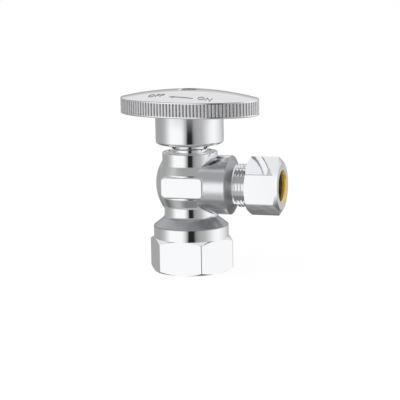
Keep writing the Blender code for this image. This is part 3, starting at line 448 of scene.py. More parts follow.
def inlet_thread():
    minor = INLET_THREAD_RADIUS - INLET_THREAD_DEPTH
    profile = [(0.0, minor), (0.42, INLET_THREAD_RADIUS), (0.58, INLET_THREAD_RADIUS)]
    made = thread("inlet_thread", profile, INLET_PITCH, 0, INLET_BORE_DEPTH, 144)
    reach = rod("inlet_thread_reach", 12 * MM, -0.5 * MM, INLET_BORE_DEPTH - 0.5 * MM)
    return combined(made, [("INTERSECT", reach)])


def outlet_bore():
    made = turned(
        "outlet_bore",
        [
            (0, 2 * MM),
            (OUTLET_PASSAGE_RADIUS, 2 * MM),
            (OUTLET_PASSAGE_RADIUS, TUBE_STOP_X - 0.6 * MM),
            (TUBE_RADIUS, TUBE_STOP_X),
            (TUBE_RADIUS, OUTLET_END_X - MOUTH_DEPTH),
            (MOUTH_RADIUS, OUTLET_END_X),
            (MOUTH_RADIUS, OUTLET_END_X + 1 * MM),
            (0, OUTLET_END_X + 1 * MM),
        ],
    )
    lay_along_x(made)
    return made


def body_finish(corners):
    """The slot of the finish of a face: 0 polished, 1 the satin branch, 2 the matt shoulder and branch end,
    darkened with painted shade.
    """
    if all(SHOULDER_LOW < corner.z < SHOULDER_HIGH for corner in corners):
        outside_neck = all(math.hypot(corner.x, corner.y) > NECK_RADIUS + 0.1 * MM for corner in corners)
        return 2 if outside_neck else 0
    from_axis = [math.hypot(corner.y, corner.z - OUTLET_AXIS_Z) for corner in corners]
    past_branch = all(corner.x > BRANCH_END_X - 0.35 * MM for corner in corners)
    if past_branch and max(from_axis) > OUTLET_THREAD_RADIUS + 0.1 * MM:
        return 2
    on_branch = all(abs(radius - BRANCH_RADIUS) < 0.02 * MM for radius in from_axis)
    return 1 if on_branch and corners[0].x > 2 * MM else 0


def valve_body(finishes):
    hexagon = hex_bar(
        "inlet_hexagon", INLET_FLATS, 0, INLET_HEX_HEIGHT,
        INLET_FLATS / 2 + 0.05 * MM, COLLAR_RADIUS - 0.05 * MM, 0.45 * MM,
    )
    made = barrel()
    made.name = "body_casting"
    adds = [hexagon, bulge(), branch(), pad(-1), pad(1), outlet_thread()]
    cuts = [inlet_bore(), inlet_thread(), outlet_bore()]
    combined(made, [("UNION", piece) for piece in adds] + [("DIFFERENCE", piece) for piece in cuts])
    weigh_normals(made)
    add_finishes(made, finishes, "body chrome", "satin chrome", "painted shade matt chrome")
    # Slot 2 gives the shoulder and the branch end a dark grey chrome: painted shade, with a matt roughness.
    for face in made.data.polygons:
        face.material_index = body_finish([made.data.vertices[number].co for number in face.vertices])
    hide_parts("valve_body")
    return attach(made, "housing")


# Bonnet

def bonnet(finishes):
    apothem = BONNET_FLATS / 2
    made = turned(
        "bonnet_brass",
        [
            (STEM_LAND_RADIUS + 0.1 * MM, BONNET_LOW.z),
            (BONNET_RADIUS, BONNET_LOW.z),
            (BONNET_RADIUS, BARREL_TOP - 0.15 * MM),
            (BONNET_NECK_RADIUS, BARREL_TOP - 0.15 * MM, 0.1 * MM),
            (BONNET_NECK_RADIUS, BONNET_HEAD_Z, 0.2 * MM),
            (apothem - 0.1 * MM, BONNET_HEAD_Z + BONNET_UNDERCUT),
            (apothem - 0.1 * MM, BONNET_HEAD_TOP - 0.5 * MM),
            (PACKING_THREAD_RADIUS, BONNET_HEAD_TOP - 0.5 * MM),
            (PACKING_THREAD_RADIUS, BONNET_TOP - 0.3 * MM),
            (PACKING_THREAD_RADIUS - 0.3 * MM, BONNET_TOP),
            (PACKING_BOX_RADIUS, BONNET_TOP),
            (PACKING_BOX_RADIUS, PACKING_BOX_Z),
            (STEM_LAND_RADIUS + 0.1 * MM, PACKING_BOX_Z),
        ],
    )
    head = hex_bar(
        "bonnet_head", BONNET_FLATS, BONNET_HEAD_Z + BONNET_UNDERCUT - 0.2 * MM, BONNET_HEAD_TOP,
        apothem - 0.3 * MM, apothem - 0.4 * MM, 0.3 * MM,
    )
    below, above = 30 * MM, 52 * MM
    bore = turned(
        "bonnet_bore",
        [
            (0, below),
            (STEM_BORE_RADIUS, below),
            (STEM_BORE_RADIUS, STEM_LAND_Z),
            (STEM_LAND_RADIUS, STEM_LAND_Z),
            (STEM_LAND_RADIUS, PACKING_BOX_Z),
            (PACKING_BOX_RADIUS, PACKING_BOX_Z),
            (PACKING_BOX_RADIUS, above),
            (0, above),
        ],
    )
    combined(made, [("UNION", head), ("DIFFERENCE", bore)])
    weigh_normals(made)
    made.data.materials.append(finishes["body chrome"])
    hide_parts("bonnet")
    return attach(made, "housing")


# Outlet nut and sleeve

def outlet_nut(finishes):
    apothem = NUT_FLATS / 2
    made = hex_bar(
        "outlet_nut", NUT_FLATS, NUT_LOW.x, NUT_HIGH.x, apothem - 0.2 * MM, NUT_FACE_RADIUS, 0.35 * MM
    )
    major = OUTLET_THREAD_RADIUS + 0.13 * MM
    minor = major - OUTLET_THREAD_DEPTH + 0.08 * MM
    wall_x = NUT_HIGH.x - NUT_END_WALL
    mouth_x = NUT_HIGH.x - NUT_MOUTH_DEPTH
    bore = turned(
        "outlet_nut_bore",
        [
            (0, NUT_LOW.x - 1 * MM),
            (major + 1.2 * MM, NUT_LOW.x - 1 * MM),
            (minor, NUT_LOW.x + 0.8 * MM),
            (minor, wall_x - 2.2 * MM),
            (major, wall_x - 1.9 * MM),
            (major, wall_x - 1.2 * MM),
            (SLEEVE_END_RADIUS + 0.2 * MM, wall_x),
            (TUBE_RADIUS, wall_x),
            (TUBE_RADIUS, mouth_x),
            (TUBE_RADIUS, NUT_HIGH.x - 0.5 * MM, 0.2 * MM),
            (TUBE_RADIUS + 1.0 * MM, NUT_HIGH.x + 0.5 * MM),
            (0, NUT_HIGH.x + 0.5 * MM),
        ],
    )
    profile = [(0.0, minor - 0.08 * MM), (0.45, major), (0.55, major)]
    ridges = thread("outlet_nut_thread", profile, OUTLET_PITCH, NUT_LOW.x, wall_x - 1.2 * MM, 96)
    reach = rod("outlet_nut_thread_reach", 9 * MM, NUT_LOW.x - 0.5 * MM, wall_x - 1.6 * MM)
    combined(ridges, [("INTERSECT", reach)])
    combined(made, [("DIFFERENCE", bore), ("DIFFERENCE", ridges)])
    lay_along_x(made)
    weigh_normals(made)
    add_finishes(made, finishes, "body chrome", "sleeve brass", "shaded brass")
    for face in made.data.polygons:
        from_axis = math.hypot(face.center.y, face.center.z - OUTLET_AXIS_Z)
        if face.center.x < mouth_x and from_axis < major + 0.1 * MM:
            face.material_index = 2
        elif from_axis < TUBE_RADIUS + 0.4 * MM:
            face.material_index = 1
    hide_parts("compression_nut")
    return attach(made, "outlet_nut")


def sleeve(finishes):
    low, high = SLEEVE_LOW.x, SLEEVE_HIGH.x
    radius = SLEEVE_HIGH.y
    made = turned(
        "tube_sleeve",
        [
            (TUBE_RADIUS, low),
            (SLEEVE_END_RADIUS, low, 0.05 * MM),
            (radius, low + 1.6 * MM, 0.5 * MM),
            (radius, high - 1.3 * MM, 0.5 * MM),
            (SLEEVE_END_RADIUS, high, 0.05 * MM),
            (TUBE_RADIUS, high),
        ],
        MEDIUM,
    )
    lay_along_x(made)
    made.data.materials.append(finishes["sleeve brass"])
    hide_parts("compression_sleeve")
    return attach(made, "sleeve")


# Handle

DOME_EDGE = Vector((HANDLE_HALF_LENGTH - 0.55 * MM, HANDLE_HALF_WIDTH - 0.55 * MM))
DOME_CENTRE_RADIUS = RECESS_RADIUS + 0.2 * MM
CROWN_Z = HANDLE_HIGH.z
TOOTH_STEPS = (0, 0, 0, 0, 0.15, 0.85, 1, 0.85, 0.15, 0)


def even_angles(count):
    """Angles that space points evenly along the oval's edge."""
    fine = 4000
    lengths = [0.0]
    edge = []
    for i in range(fine + 1):
        angle = math.tau * i / fine
        edge.append(Vector((HANDLE_HALF_LENGTH * math.cos(angle), HANDLE_HALF_WIDTH * math.sin(angle))))
    for a, b in zip(edge, edge[1:]):
        lengths.append(lengths[-1] + (b - a).length)
    angles = []
    at = 0
    for i in range(count):
        want = lengths[-1] * i / count
        while lengths[at + 1] < want:
            at += 1
        share = (want - lengths[at]) / (lengths[at + 1] - lengths[at])
        angles.append(math.tau * (at + share) / fine)
    return angles


def dome_size(t):
    """Half length and half width of the dome's ring at t, from 0 at the recess to 1 at the rim."""
    start = Vector((DOME_CENTRE_RADIUS, DOME_CENTRE_RADIUS))
    return start.lerp(DOME_EDGE, t)


def dome_height(t):
    share = dome_size(t).x / DOME_EDGE.x
    return RIM_TOP + (CROWN_Z - RIM_TOP) * (1 - share**2)


def dome_surface(x, y):
    """Height of the dome over a point in the handle's own directions."""
    low, high = 0.0, 1.0
    for _ in range(30):
        t = (low + high) / 2
        size = dome_size(t)
        if (x / size.x) ** 2 + (y / size.y) ** 2 > 1:
            low = t
        else:
            high = t
    return dome_height((low + high) / 2)


def oval_ring(bm, angles, size, inset, z, tooth=0.0):
    """One ring of points. Teeth are cut in from the oval by the tooth depth."""
    ring = []
    for i, angle in enumerate(angles):
        c, s = math.cos(angle), math.sin(angle)
        normal = Vector((c / size[0], s / size[1])).normalized()
        depth = inset + tooth * TOOTH_STEPS[i % len(TOOTH_STEPS)]
        ring.append(bm.verts.new((size[0] * c - normal.x * depth, size[1] * s - normal.y * depth, z)))
    return ring


def handle_rings(bm, angles):
    """Every ring of the handle, from the screw hole out over the dome and rim and back in underneath."""
    edge = (HANDLE_HALF_LENGTH, HANDLE_HALF_WIDTH)
    rings = []
    depths = []

    def add(size, inset, z, tooth=0.0):
        rings.append(oval_ring(bm, angles, size, inset, z, tooth))
        depths.append(tooth)

    def round_ring(radius, z):
        add((radius, radius), 0, z)

    round_ring(SCREW_HOLE_RADIUS, RECESS_FLOOR)
    round_ring(RECESS_RADIUS - 0.25 * MM, RECESS_FLOOR)
    round_ring(RECESS_RADIUS, RECESS_FLOOR + 0.25 * MM)
    round_ring(RECESS_RADIUS, CROWN_Z - 0.2 * MM)
    round_ring(RECESS_RADIUS + 0.06 * MM, CROWN_Z - 0.06 * MM)
    steps = 22
    for step in range(steps + 1):
        t = step / steps
        add(dome_size(t), 0, dome_height(t))
    for inset, drop in ((0.30, 0.06), (0.12, 0.18), (0.05, 0.35), (0.05, 0.62)):
        add(edge, inset * MM, RIM_TOP - drop * MM)
    add(edge, 0.06 * MM, RIM_TOP - 0.68 * MM)
    add(edge, 0.06 * MM, RIM_TOP - 0.80 * MM, TOOTH_DEPTH)
    add(edge, 0.06 * MM, RIM_BOTTOM + 0.72 * MM, TOOTH_DEPTH)
    add(edge, 0.06 * MM, RIM_BOTTOM + 0.60 * MM)
    for inset, rise in ((0.05, 0.52), (0.05, 0.35), (0.12, 0.15), (0.32, 0.04), (0.6, 0.0)):
        add(edge, inset * MM, RIM_BOTTOM + rise * MM)
    add(edge, RIM_WALL - 0.4 * MM, RIM_BOTTOM)
    add(edge, RIM_WALL, RIM_BOTTOM + 0.4 * MM)
    roof = RIM_TOP - HANDLE_SHELL
    add(edge, RIM_WALL, roof - 0.6 * MM)
    add(edge, RIM_WALL + 0.3 * MM, roof - 0.15 * MM)
    inner = Vector((SKIRT_RADIUS + 0.8 * MM, SKIRT_RADIUS + 0.8 * MM))
    outer = Vector((HANDLE_HALF_LENGTH - RIM_WALL - 0.8 * MM, HANDLE_HALF_WIDTH - RIM_WALL - 0.8 * MM))
    for step in range(7):
        size = outer.lerp(inner, step / 6)
        add(size, 0, roof + 1.6 * MM * (step / 6))
    top = roof + 1.6 * MM
    round_ring(SKIRT_RADIUS + 0.25 * MM, top - 0.25 * MM)
    round_ring(SKIRT_RADIUS, top - 0.8 * MM)
    for step in range(9):
        angle = math.radians(90 * step / 8)
        round_ring(
            SKIRT_RADIUS - SKIRT_EDGE * (1 - math.cos(angle)), SKIRT_BOTTOM + SKIRT_EDGE * (1 - math.sin(angle))
        )
    round_ring(SKIRT_RADIUS - SKIRT_WALL + 0.2 * MM, SKIRT_BOTTOM)
    round_ring(SKIRT_RADIUS - SKIRT_WALL, SKIRT_BOTTOM + 0.2 * MM)
    round_ring(SKIRT_RADIUS - SKIRT_WALL, top - 0.3 * MM)
    round_ring(BOSS_RADIUS, top - 0.3 * MM)
    round_ring(BOSS_RADIUS, BOSS_BOTTOM)
    round_ring(BORE_RADIUS, BOSS_BOTTOM)
    round_ring(BORE_RADIUS, BORE_TOP)
    round_ring(SCREW_HOLE_RADIUS, BORE_TOP)
    return rings, depths


def handle(finishes):
    bm = bmesh.new()
    angles = even_angles(HANDLE_TEETH * len(TOOTH_STEPS))
    rings, depths = handle_rings(bm, angles)
    for i, (a, b) in enumerate(zip(rings, rings[1:] + rings[:1])):
        toothed = max(depths[i], depths[(i + 1) % len(rings)]) > 0
        for j in range(len(angles)):
            face = bm.faces.new((a[j - 1], a[j], b[j], b[j - 1]))
            step = max(TOOTH_STEPS[(j - 1) % len(TOOTH_STEPS)], TOOTH_STEPS[j % len(TOOTH_STEPS)])
            # Faces deep between the rim's teeth take a darker grey chrome: painted shade in the grooves.
            if toothed:
                face.material_index = 2 if step > 0.5 else 1
    made = mesh_object("oval_handle", bm, HANDLE_EDGE)
    made.data.transform(Matrix.Rotation(HANDLE_TURN, 4, "Z"))
    add_finishes(made, finishes, "handle chrome", "rim chrome", "painted groove shade")
    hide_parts("handle")
    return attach(made, "spindle")


def lay_on_dome(made, finish, height):
    """Wraps a flat mesh, drawn in the handle's own directions, onto the dome. It stands out by the height."""
    for vert in made.data.vertices:
        lift = height if vert.co.z > 0 else -0.06 * MM
        vert.co.z = dome_surface(vert.co.x, vert.co.y) + lift
    made.data.transform(Matrix.Rotation(HANDLE_TURN, 4, "Z"))
    made.data.materials.append(finish)
    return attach(made, "spindle")


def word(name, text, centre, width, finish):
    curve = bpy.data.curves.new(name, "FONT")
    curve.body = text
    curve.size = 1.0
    curve.extrude = 0.01
    curve.resolution_u = 4
    curve.space_character = 1.12
    flat = bpy.data.objects.new(name + "_outline", curve)
    bpy.context.scene.collection.objects.link(flat)
    bpy.context.view_layer.update()
    mesh = bpy.data.meshes.new_from_object(flat.evaluated_get(bpy.context.evaluated_depsgraph_get()))
    bpy.data.objects.remove(flat)
    low = Vector((min(v.co.x for v in mesh.vertices), min(v.co.y for v in mesh.vertices), 0))
    high = Vector((max(v.co.x for v in mesh.vertices), max(v.co.y for v in mesh.vertices), 0))
    sized = Matrix.Scale(width / (high.x - low.x), 4) @ Matrix.Translation(-(low + high) / 2)
    mesh.transform(Matrix.Translation(Vector((*centre, 0))) @ sized)
    bm = bmesh.new()
    bm.from_mesh(mesh)
    bmesh.ops.remove_doubles(bm, verts=bm.verts, dist=1e-7)
    bm.to_mesh(mesh)
    bm.free()
    mesh.set_sharp_from_angle(angle=PLAIN_EDGE)
    made = bpy.data.objects.new(name, mesh)
    bpy.context.scene.collection.objects.link(made)
    return lay_on_dome(made, finish, LETTER_HEIGHT)


def arrow(start, end, y, finish):
    """An arrow whose head points to start."""
    head, half_head, half_line = 1.7 * MM, 0.62 * MM, 0.16 * MM
    outline = [(start, y), (start + head, y - half_head), (start + head, y - half_line)]
    steps = 8
    for step in range(steps + 1):
        outline.append((start + head + (end - start - head) * step / steps, y - half_line))
    for step in range(steps + 1):
        outline.append((end - (end - start - head) * step / steps, y + half_line))
    outline += [(start + head, y + half_line), (start + head, y + half_head)]
    bm = bmesh.new()
    low = [bm.verts.new((x, v, -0.01 * MM)) for x, v in outline]
    face = bm.faces.new(low)
    lifted = bmesh.ops.extrude_face_region(bm, geom=[face])
    top = [v for v in lifted["geom"] if isinstance(v, bmesh.types.BMVert)]
    bmesh.ops.translate(bm, verts=top, vec=(0, 0, 0.02 * MM))
    return lay_on_dome(mesh_object("turn_arrow", bm), finish, LETTER_HEIGHT)


def markings(finishes):
    """OFF, an arrow and ON along the front of the dome."""
    finish = finishes["letter grey"]
    word("word_off", "OFF", (-6.9 * MM, -9.9 * MM), 5.7 * MM, finish)
    word("word_on", "ON", (11.0 * MM, -10.4 * MM), 4.8 * MM, finish)
    arrow(-1.4 * MM, 7.2 * MM, -11.3 * MM, finish)


def handle_screw(finishes):
    low, high = SCREW_LOW.z, SCREW_HIGH.z
    radius = SCREW_HIGH.x
    under = LOCK_HIGH.z + 0.1 * MM
    made = turned(
        "pan_head_screw",
        [
            (0, low),
            (1.0 * MM, low),
            (1.4 * MM, low + 0.4 * MM),
            (1.4 * MM, under),
            (radius - 0.1 * MM, under, 0.1 * MM),
            (radius - 0.02 * MM, high - 0.75 * MM, 0.3 * MM),
            (radius - 0.9 * MM, high - 0.12 * MM, 0.6 * MM),
            (0, high - 0.02 * MM),
        ],
        MEDIUM,
    )
    cutters = []
    for turn in (0, 90):
        bm = bmesh.new()
        bmesh.ops.create_cube(bm, size=1.0)
        for vert in bm.verts:
            deep = vert.co.z < 0
            vert.co.x *= (1.3 if deep else 4.0) * MM
            vert.co.y *= (0.55 if deep else 0.85) * MM
            vert.co.z = high + (-1.0 if deep else 0.3) * MM
        bmesh.ops.rotate(bm, verts=bm.verts, matrix=Matrix.Rotation(math.radians(turn + 20), 3, "Z"))
        cutters.append(mesh_object("cross", bm))
    combined(made, [("DIFFERENCE", cutter) for cutter in cutters])
    weigh_normals(made)
    made.data.materials.append(finishes["dark steel"])
    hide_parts("handle_screw")
    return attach(made, "spindle")


# Surface effects that more than one material uses

def effect_group(name, inputs, outputs):
    group = bpy.data.node_groups.new(name, "ShaderNodeTree")
    for label, value in inputs.items():
        socket = group.interface.new_socket(label, in_out="INPUT", socket_type="NodeSocketFloat")
        socket.default_value = value
    for label in outputs:
        group.interface.new_socket(label, in_out="OUTPUT", socket_type="NodeSocketFloat")
    start = group.nodes.new("NodeGroupInput")
    end = group.nodes.new("NodeGroupOutput")
    return group, start, end


def noise(tree, scale, detail, vector):
    node = tree.nodes.new("ShaderNodeTexNoise")
    node.inputs["Scale"].default_value = scale
    node.inputs["Detail"].default_value = detail
    tree.links.new(vector, node.inputs["Vector"])
    return node.outputs["Fac"]


def maths(tree, operation, a, b):
    node = tree.nodes.new("ShaderNodeMath")
    node.operation = operation
    for socket, value in zip(node.inputs, (a, b)):
        if isinstance(value, (int, float)):
            socket.default_value = value
        else:
            tree.links.new(value, socket)
    return node.outputs["Value"]


def buffed_plating():
    """Soft unevenness left by buffing under the plating, and a haze that varies over the surface."""
    group, start, end = effect_group(
        "buffed plating", {"Unevenness": 1.0, "Haze": 0.02, "Polish": 0.05}, ("Height", "Roughness")
    )
    place = group.nodes.new("ShaderNodeTexCoord").outputs["Object"]
    broad = noise(group, 170.0, 1.0, place)
    fine = noise(group, 900.0, 2.0, place)
    mixed = maths(group, "ADD", broad, maths(group, "MULTIPLY", fine, 0.12))
    height = maths(group, "MULTIPLY", mixed, start.outputs["Unevenness"])
    group.links.new(height, end.inputs["Height"])
    cloudy = maths(group, "MULTIPLY", noise(group, 350.0, 3.0, place), start.outputs["Haze"])
    group.links.new(maths(group, "ADD", cloudy, start.outputs["Polish"]), end.inputs["Roughness"])
    return group


def tool_marks():
    """Fine rings that a lathe tool leaves, and patches where they are worn."""
    group, start, end = effect_group(
        "tool marks", {"Rings per millimetre": 6.0, "Wear": 0.5}, ("Height", "Tone")
    )
    place = group.nodes.new("ShaderNodeTexCoord").outputs["Object"]
    parts = group.nodes.new("ShaderNodeSeparateXYZ")
    group.links.new(place, parts.inputs["Vector"])
    side = maths(group, "POWER", parts.outputs["Y"], 2.0)
    across = maths(group, "ADD", side, maths(group, "POWER", parts.outputs["X"], 2.0))
    distance = maths(group, "ADD", maths(group, "SQRT", across, 0.0), parts.outputs["Z"])
    pace = maths(group, "MULTIPLY", start.outputs["Rings per millimetre"], 1000.0 * math.tau)
    rings = maths(group, "SINE", maths(group, "MULTIPLY", distance, pace), 0.0)
    patches = noise(group, 500.0, 3.0, place)
    group.links.new(maths(group, "MULTIPLY", rings, patches), end.inputs["Height"])
    tone = maths(group, "MULTIPLY", patches, start.outputs["Wear"])
    group.links.new(maths(group, "ADD", tone, 0.25), end.inputs["Tone"])
    return group


def grain():
    """A fine grain for moulded and pressed materials."""
    group, start, end = effect_group("grain", {"Grain size": 0.2, "Spread": 1.0}, ("Height", "Tone"))
    place = group.nodes.new("ShaderNodeTexCoord").outputs["Object"]
    pace = maths(group, "DIVIDE", 1000.0, start.outputs["Grain size"])
    scaled = group.nodes.new("ShaderNodeVectorMath")
    scaled.operation = "SCALE"
    group.links.new(place, scaled.inputs[0])
    group.links.new(pace, scaled.inputs["Scale"])
    speckle = noise(group, 1.0, 3.0, scaled.outputs["Vector"])
    group.links.new(maths(group, "MULTIPLY", speckle, start.outputs["Spread"]), end.inputs["Height"])
    group.links.new(noise(group, 250.0, 2.0, place), end.inputs["Tone"])
    return group


# Materials

def material(name, colour, metallic, roughness):
    made = bpy.data.materials.new(name)
    made.use_nodes = True
    shader = made.node_tree.nodes["Principled BSDF"]
    shader.inputs["Base Color"].default_value = (*colour, 1)
    shader.inputs["Metallic"].default_value = metallic
    shader.inputs["Roughness"].default_value = roughness
    return made, made.node_tree, shader


def place_group(tree, group, **values):
    node = tree.nodes.new("ShaderNodeGroup")
    node.node_tree = group
    for label, value in values.items():
        node.inputs[label.replace("_", " ")].default_value = value
    return node


def bump(tree, shader, height, distance, strength=1.0):
    node = tree.nodes.new("ShaderNodeBump")
    node.inputs["Distance"].default_value = distance
    node.inputs["Strength"].default_value = strength
    tree.links.new(height, node.inputs["Height"])
    tree.links.new(node.outputs["Normal"], shader.inputs["Normal"])


def two_tone(tree, shader, factor, dark, light):
    ramp = tree.nodes.new("ShaderNodeValToRGB")
    ramp.color_ramp.elements[0].position = 0.3
    ramp.color_ramp.elements[0].color = (*dark, 1)
    ramp.color_ramp.elements[1].position = 0.7
    ramp.color_ramp.elements[1].color = (*light, 1)
    tree.links.new(factor, ramp.inputs["Fac"])
    tree.links.new(ramp.outputs["Color"], shader.inputs["Base Color"])


def chrome(name, group, colour, unevenness, haze, polish):
    made, tree, shader = material(name, colour, 1.0, polish)
    plating = place_group(tree, group, Unevenness=unevenness, Haze=haze, Polish=polish)
    tree.links.new(plating.outputs["Roughness"], shader.inputs["Roughness"])
    bump(tree, shader, plating.outputs["Height"], 0.05 * MM)
    return made


def brass(name, group, dark, light, rings, roughness):
    made, tree, shader = material(name, light, 0.8, roughness)
    marks = place_group(tree, group, Rings_per_millimetre=rings, Wear=0.5)
    two_tone(tree, shader, marks.outputs["Tone"], dark, light)
    bump(tree, shader, marks.outputs["Height"], 0.01 * MM, 0.6)
    return made


def grained(name, group, dark, light, size, metallic, roughness, depth):
    made, tree, shader = material(name, light, metallic, roughness)
    marks = place_group(tree, group, Grain_size=size, Spread=1.0)
    two_tone(tree, shader, marks.outputs["Tone"], dark, light)
    bump(tree, shader, marks.outputs["Height"], depth)
    return made


def all_finishes():
    plating, marks, speckle = buffed_plating(), tool_marks(), grain()
    return {
        "body chrome": chrome("body chrome", plating, (0.94, 0.945, 0.955), 0.5, 0.02, 0.04),
        "satin chrome": chrome("satin chrome", plating, (0.92, 0.93, 0.955), 1.0, 0.06, 0.20),
        # The shoulder and branch end: the dark grey base colour is painted shade; the higher roughness makes it
        # matt.
        "painted shade matt chrome": chrome("painted shade matt chrome", plating, (0.52, 0.525, 0.545), 1.0, 0.10, 0.32),
        "handle chrome": chrome("handle chrome", plating, (0.94, 0.945, 0.965), 0.7, 0.03, 0.06),
        "rim chrome": chrome("rim chrome", plating, (0.97, 0.97, 0.98), 1.0, 0.10, 0.46),
        # Darker grey chrome for the grooves between the rim's teeth: painted shade.
        "painted groove shade": chrome("painted groove shade", plating, (0.62, 0.62, 0.64), 1.0, 0.20, 0.45),
        "sleeve brass": brass("sleeve brass", marks, (0.86, 0.58, 0.08), (1.0, 0.80, 0.18), 5.0, 0.30),
        "shaded brass": brass("shaded brass", marks, (0.16, 0.11, 0.03), (0.30, 0.20, 0.05), 5.0, 0.35),
        "turned brass": brass("turned brass", marks, (0.62, 0.42, 0.15), (0.80, 0.60, 0.26), 4.0, 0.28),
        "black rubber": grained(
            "black rubber", speckle, (0.012, 0.012, 0.012), (0.035, 0.034, 0.033), 0.15, 0.0, 0.6, 0.02 * MM
        ),
        "white packing": grained(
            "white packing", speckle, (0.70, 0.69, 0.64), (0.88, 0.87, 0.83), 0.4, 0.0, 0.45, 0.03 * MM
        ),
        "red fibre": grained(
            "red fibre", speckle, (0.28, 0.07, 0.04), (0.50, 0.16, 0.10), 0.25, 0.0, 0.8, 0.05 * MM
        ),
        "dark steel": grained(
            "dark steel", speckle, (0.16, 0.16, 0.17), (0.34, 0.34, 0.35), 0.2, 1.0, 0.32, 0.01 * MM
        ),
        "letter grey": grained(
            "letter grey", speckle, (0.22, 0.22, 0.23), (0.32, 0.32, 0.33), 0.2, 0.6, 0.35, 0.01 * MM
        ),
    }


def finish_hidden_pieces(finishes):
    """Better materials for the inner pieces that keep their own shape."""
    choices = {
        "bonnet_gasket": "red fibre",
        "packing_washer": "turned brass",
        "packing_ring_1": "white packing",
        "packing_ring_2": "white packing",
        "gland_follower": "turned brass",
        "packing_nut": "turned brass",
        "disc_holder": "turned brass",
        "seat_washer": "black rubber",
        "seat_washer_screw": "turned brass",
        "stem": "turned brass",
        "lock_washer": "dark steel",
    }
    for node, finish in choices.items():
        made = frame["nodes"][node]
        made.data.materials.clear()
        made.data.materials.append(finishes[finish])


# Studio

TENT_RADIUS = 0.8

# The tent's brightness all round, as (degrees from the front towards the outlet, brightness)
LEVEL_TENT = (
    (-180, 0.42), (-121, 0.38), (-95, 0.38), (-76, 0.50), (-60, 0.80), (-50, 1.0), (-14, 1.0), (-6, 0.86),
    (6, 0.32), (9.5, 0.02), (24, 0.02), (31, 0.27), (40, 0.38), (60, 0.48), (75, 0.70), (90, 0.92),
    (106, 1.0), (124, 0.90), (147, 0.68), (180, 0.42),
)
UPPER_TENT = ((-180, 0.80), (-110, 0.80), (-80, 0.36), (60, 0.36), (90, 0.80), (180, 0.80))
LOWER_TENT = ((-180, 0.17), (-100, 0.17), (-60, 0.46), (60, 0.46), (100, 0.17), (180, 0.17))
FLOOR_TENT = ((-180, 1.0), (-100, 1.0), (-70, 0.22), (70, 0.22), (100, 1.0), (180, 1.0))
TOP_OF_TENT = ((-180, 0.85), (180, 0.85))

# The bands above the floor's, each with the degrees above the horizon over which it takes over
HIGHER_BANDS = ((LOWER_TENT, -52, -48.5), (LEVEL_TENT, -30, -16), (UPPER_TENT, 8, 20), (TOP_OF_TENT, 56, 61))


def ramp_node(tree, factor, stops):
    node = tree.nodes.new("ShaderNodeValToRGB")
    elements = node.color_ramp.elements
    while len(elements) > 1:
        elements.remove(elements[-1])
    for number, (position, value) in enumerate(stops):
        element = elements[0] if number == 0 else elements.new(position)
        element.position = position
        element.color = (value, value, value, 1)
    tree.links.new(factor, node.inputs["Fac"])
    return node.outputs["Color"]


def round_ramp(tree, share, band):
    return ramp_node(tree, share, [((degrees + 180) / 360, value) for degrees, value in band])


def tent_colour(tree):
    """The tent's brightness at each place on it, band over band."""
    place = tree.nodes.new("ShaderNodeTexCoord")
    parts = tree.nodes.new("ShaderNodeSeparateXYZ")
    tree.links.new(place.outputs["Object"], parts.inputs["Vector"])
    turn = maths(tree, "ARCTAN2", parts.outputs["X"], maths(tree, "MULTIPLY", parts.outputs["Y"], -1.0))
    share = maths(tree, "ADD", maths(tree, "DIVIDE", turn, math.tau), 0.5)
    rise = maths(tree, "ARCSINE", maths(tree, "DIVIDE", parts.outputs["Z"], TENT_RADIUS), 0.0)
    rise_share = maths(tree, "ADD", maths(tree, "DIVIDE", rise, math.pi), 0.5)
    colour = round_ramp(tree, share, FLOOR_TENT)
    for band, start, end in HIGHER_BANDS:
        mix = tree.nodes.new("ShaderNodeMix")
        mix.data_type = "RGBA"
        step = ramp_node(tree, rise_share, [((start + 90) / 180, 0.0), ((end + 90) / 180, 1.0)])
        tree.links.new(step, mix.inputs["Factor"])
        tree.links.new(colour, mix.inputs["A"])
        tree.links.new(round_ramp(tree, share, band), mix.inputs["B"])
        colour = mix.outputs["Result"]
    return colour


def light_tent():
    """The white tent round the valve, with the dark gap at its front. Only polished metal shows it."""
    bm = bmesh.new()
    bmesh.ops.create_uvsphere(bm, u_segments=96, v_segments=48, radius=TENT_RADIUS)
    tent = mesh_object("light_tent", bm)
    tent.location.z = OUTLET_AXIS_Z
    made = bpy.data.materials.new("tent cloth")
    made.use_nodes = True
    tree = made.node_tree
    tree.nodes.clear()
    glow = tree.nodes.new("ShaderNodeEmission")
    tree.links.new(tent_colour(tree), glow.inputs["Color"])
    out = tree.nodes.new("ShaderNodeOutputMaterial")
    tree.links.new(glow.outputs["Emission"], out.inputs["Surface"])
    tent.data.materials.append(made)
    tent.visible_camera = False
    tent.visible_diffuse = False
    tent.visible_shadow = False


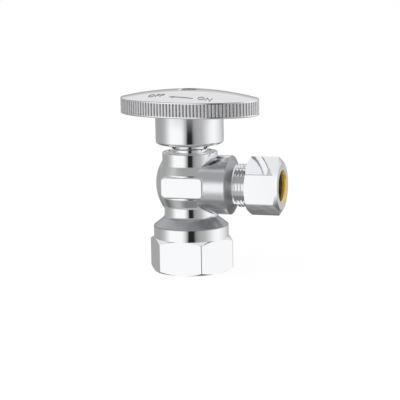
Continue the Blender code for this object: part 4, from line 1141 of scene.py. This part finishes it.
def floor():
    bm = bmesh.new()
    bmesh.ops.create_grid(bm, x_segments=1, y_segments=1, size=6.0)
    made = mesh_object("studio_floor", bm)
    made.location.z = -0.05 * MM
    paint, tree, shader = material("white floor", (0.95, 0.95, 0.95), 0.0, 0.9)
    glow = tree.nodes.new("ShaderNodeEmission")
    mix = tree.nodes.new("ShaderNodeMixShader")
    light = tree.nodes.new("ShaderNodeLightPath")
    seen = maths(tree, "ADD", light.outputs["Is Camera Ray"], light.outputs["Is Glossy Ray"])
    seen = maths(tree, "ADD", seen, light.outputs["Is Transmission Ray"])
    tree.links.new(maths(tree, "MULTIPLY", seen, 0.93), mix.inputs["Fac"])
    tree.links.new(shader.outputs["BSDF"], mix.inputs[1])
    tree.links.new(glow.outputs["Emission"], mix.inputs[2])
    out = tree.nodes["Material Output"]
    tree.links.new(mix.outputs["Shader"], out.inputs["Surface"])
    made.data.materials.append(paint)
    made.visible_glossy = False


def world():
    made = bpy.data.worlds.new("white studio")
    bpy.context.scene.world = made
    made.use_nodes = True
    made.node_tree.nodes["Background"].inputs["Color"].default_value = (1, 1, 1, 1)


def soft_box():
    light = bpy.data.lights.new("soft_box", "AREA")
    light.shape = "RECTANGLE"
    light.size = 0.5
    light.size_y = 0.4
    light.energy = 1.1
    lamp = bpy.data.objects.new("soft_box", light)
    bpy.context.scene.collection.objects.link(lamp)
    lamp.location = (-0.15, -0.25, 0.6)
    lamp.rotation_mode = "QUATERNION"
    lamp.rotation_quaternion = lamp.location.to_track_quat("Z", "Y")
    lamp.visible_glossy = False


def camera():
    azimuth, elevation, roll = math.radians(17.0), math.radians(9.5), math.radians(-1.0)
    target = Vector((3.2, 0.0, 23.4)) * MM
    distance = 0.548
    back = Vector((
        math.sin(azimuth) * math.cos(elevation), -math.cos(azimuth) * math.cos(elevation), math.sin(elevation)
    ))
    right = Vector((math.cos(azimuth), math.sin(azimuth), 0))
    up = back.cross(right)
    rolled_right = right * math.cos(roll) + up * math.sin(roll)
    rolled_up = up * math.cos(roll) - right * math.sin(roll)
    data = bpy.data.cameras.new("camera")
    data.sensor_width = 36.0
    data.lens = 148.2
    data.clip_start = 0.01
    made = bpy.data.objects.new("camera", data)
    bpy.context.scene.collection.objects.link(made)
    turn = Matrix((rolled_right, rolled_up, back)).transposed().to_4x4()
    made.matrix_world = Matrix.Translation(target + back * distance) @ turn
    bpy.context.scene.camera = made


def main():
    finishes = all_finishes()
    valve_body(finishes)
    bonnet(finishes)
    outlet_nut(finishes)
    sleeve(finishes)
    handle(finishes)
    markings(finishes)
    handle_screw(finishes)
    finish_hidden_pieces(finishes)
    light_tent()
    floor()
    world()
    soft_box()
    camera()
    bpy.context.scene.view_settings.view_transform = "Standard"


main()
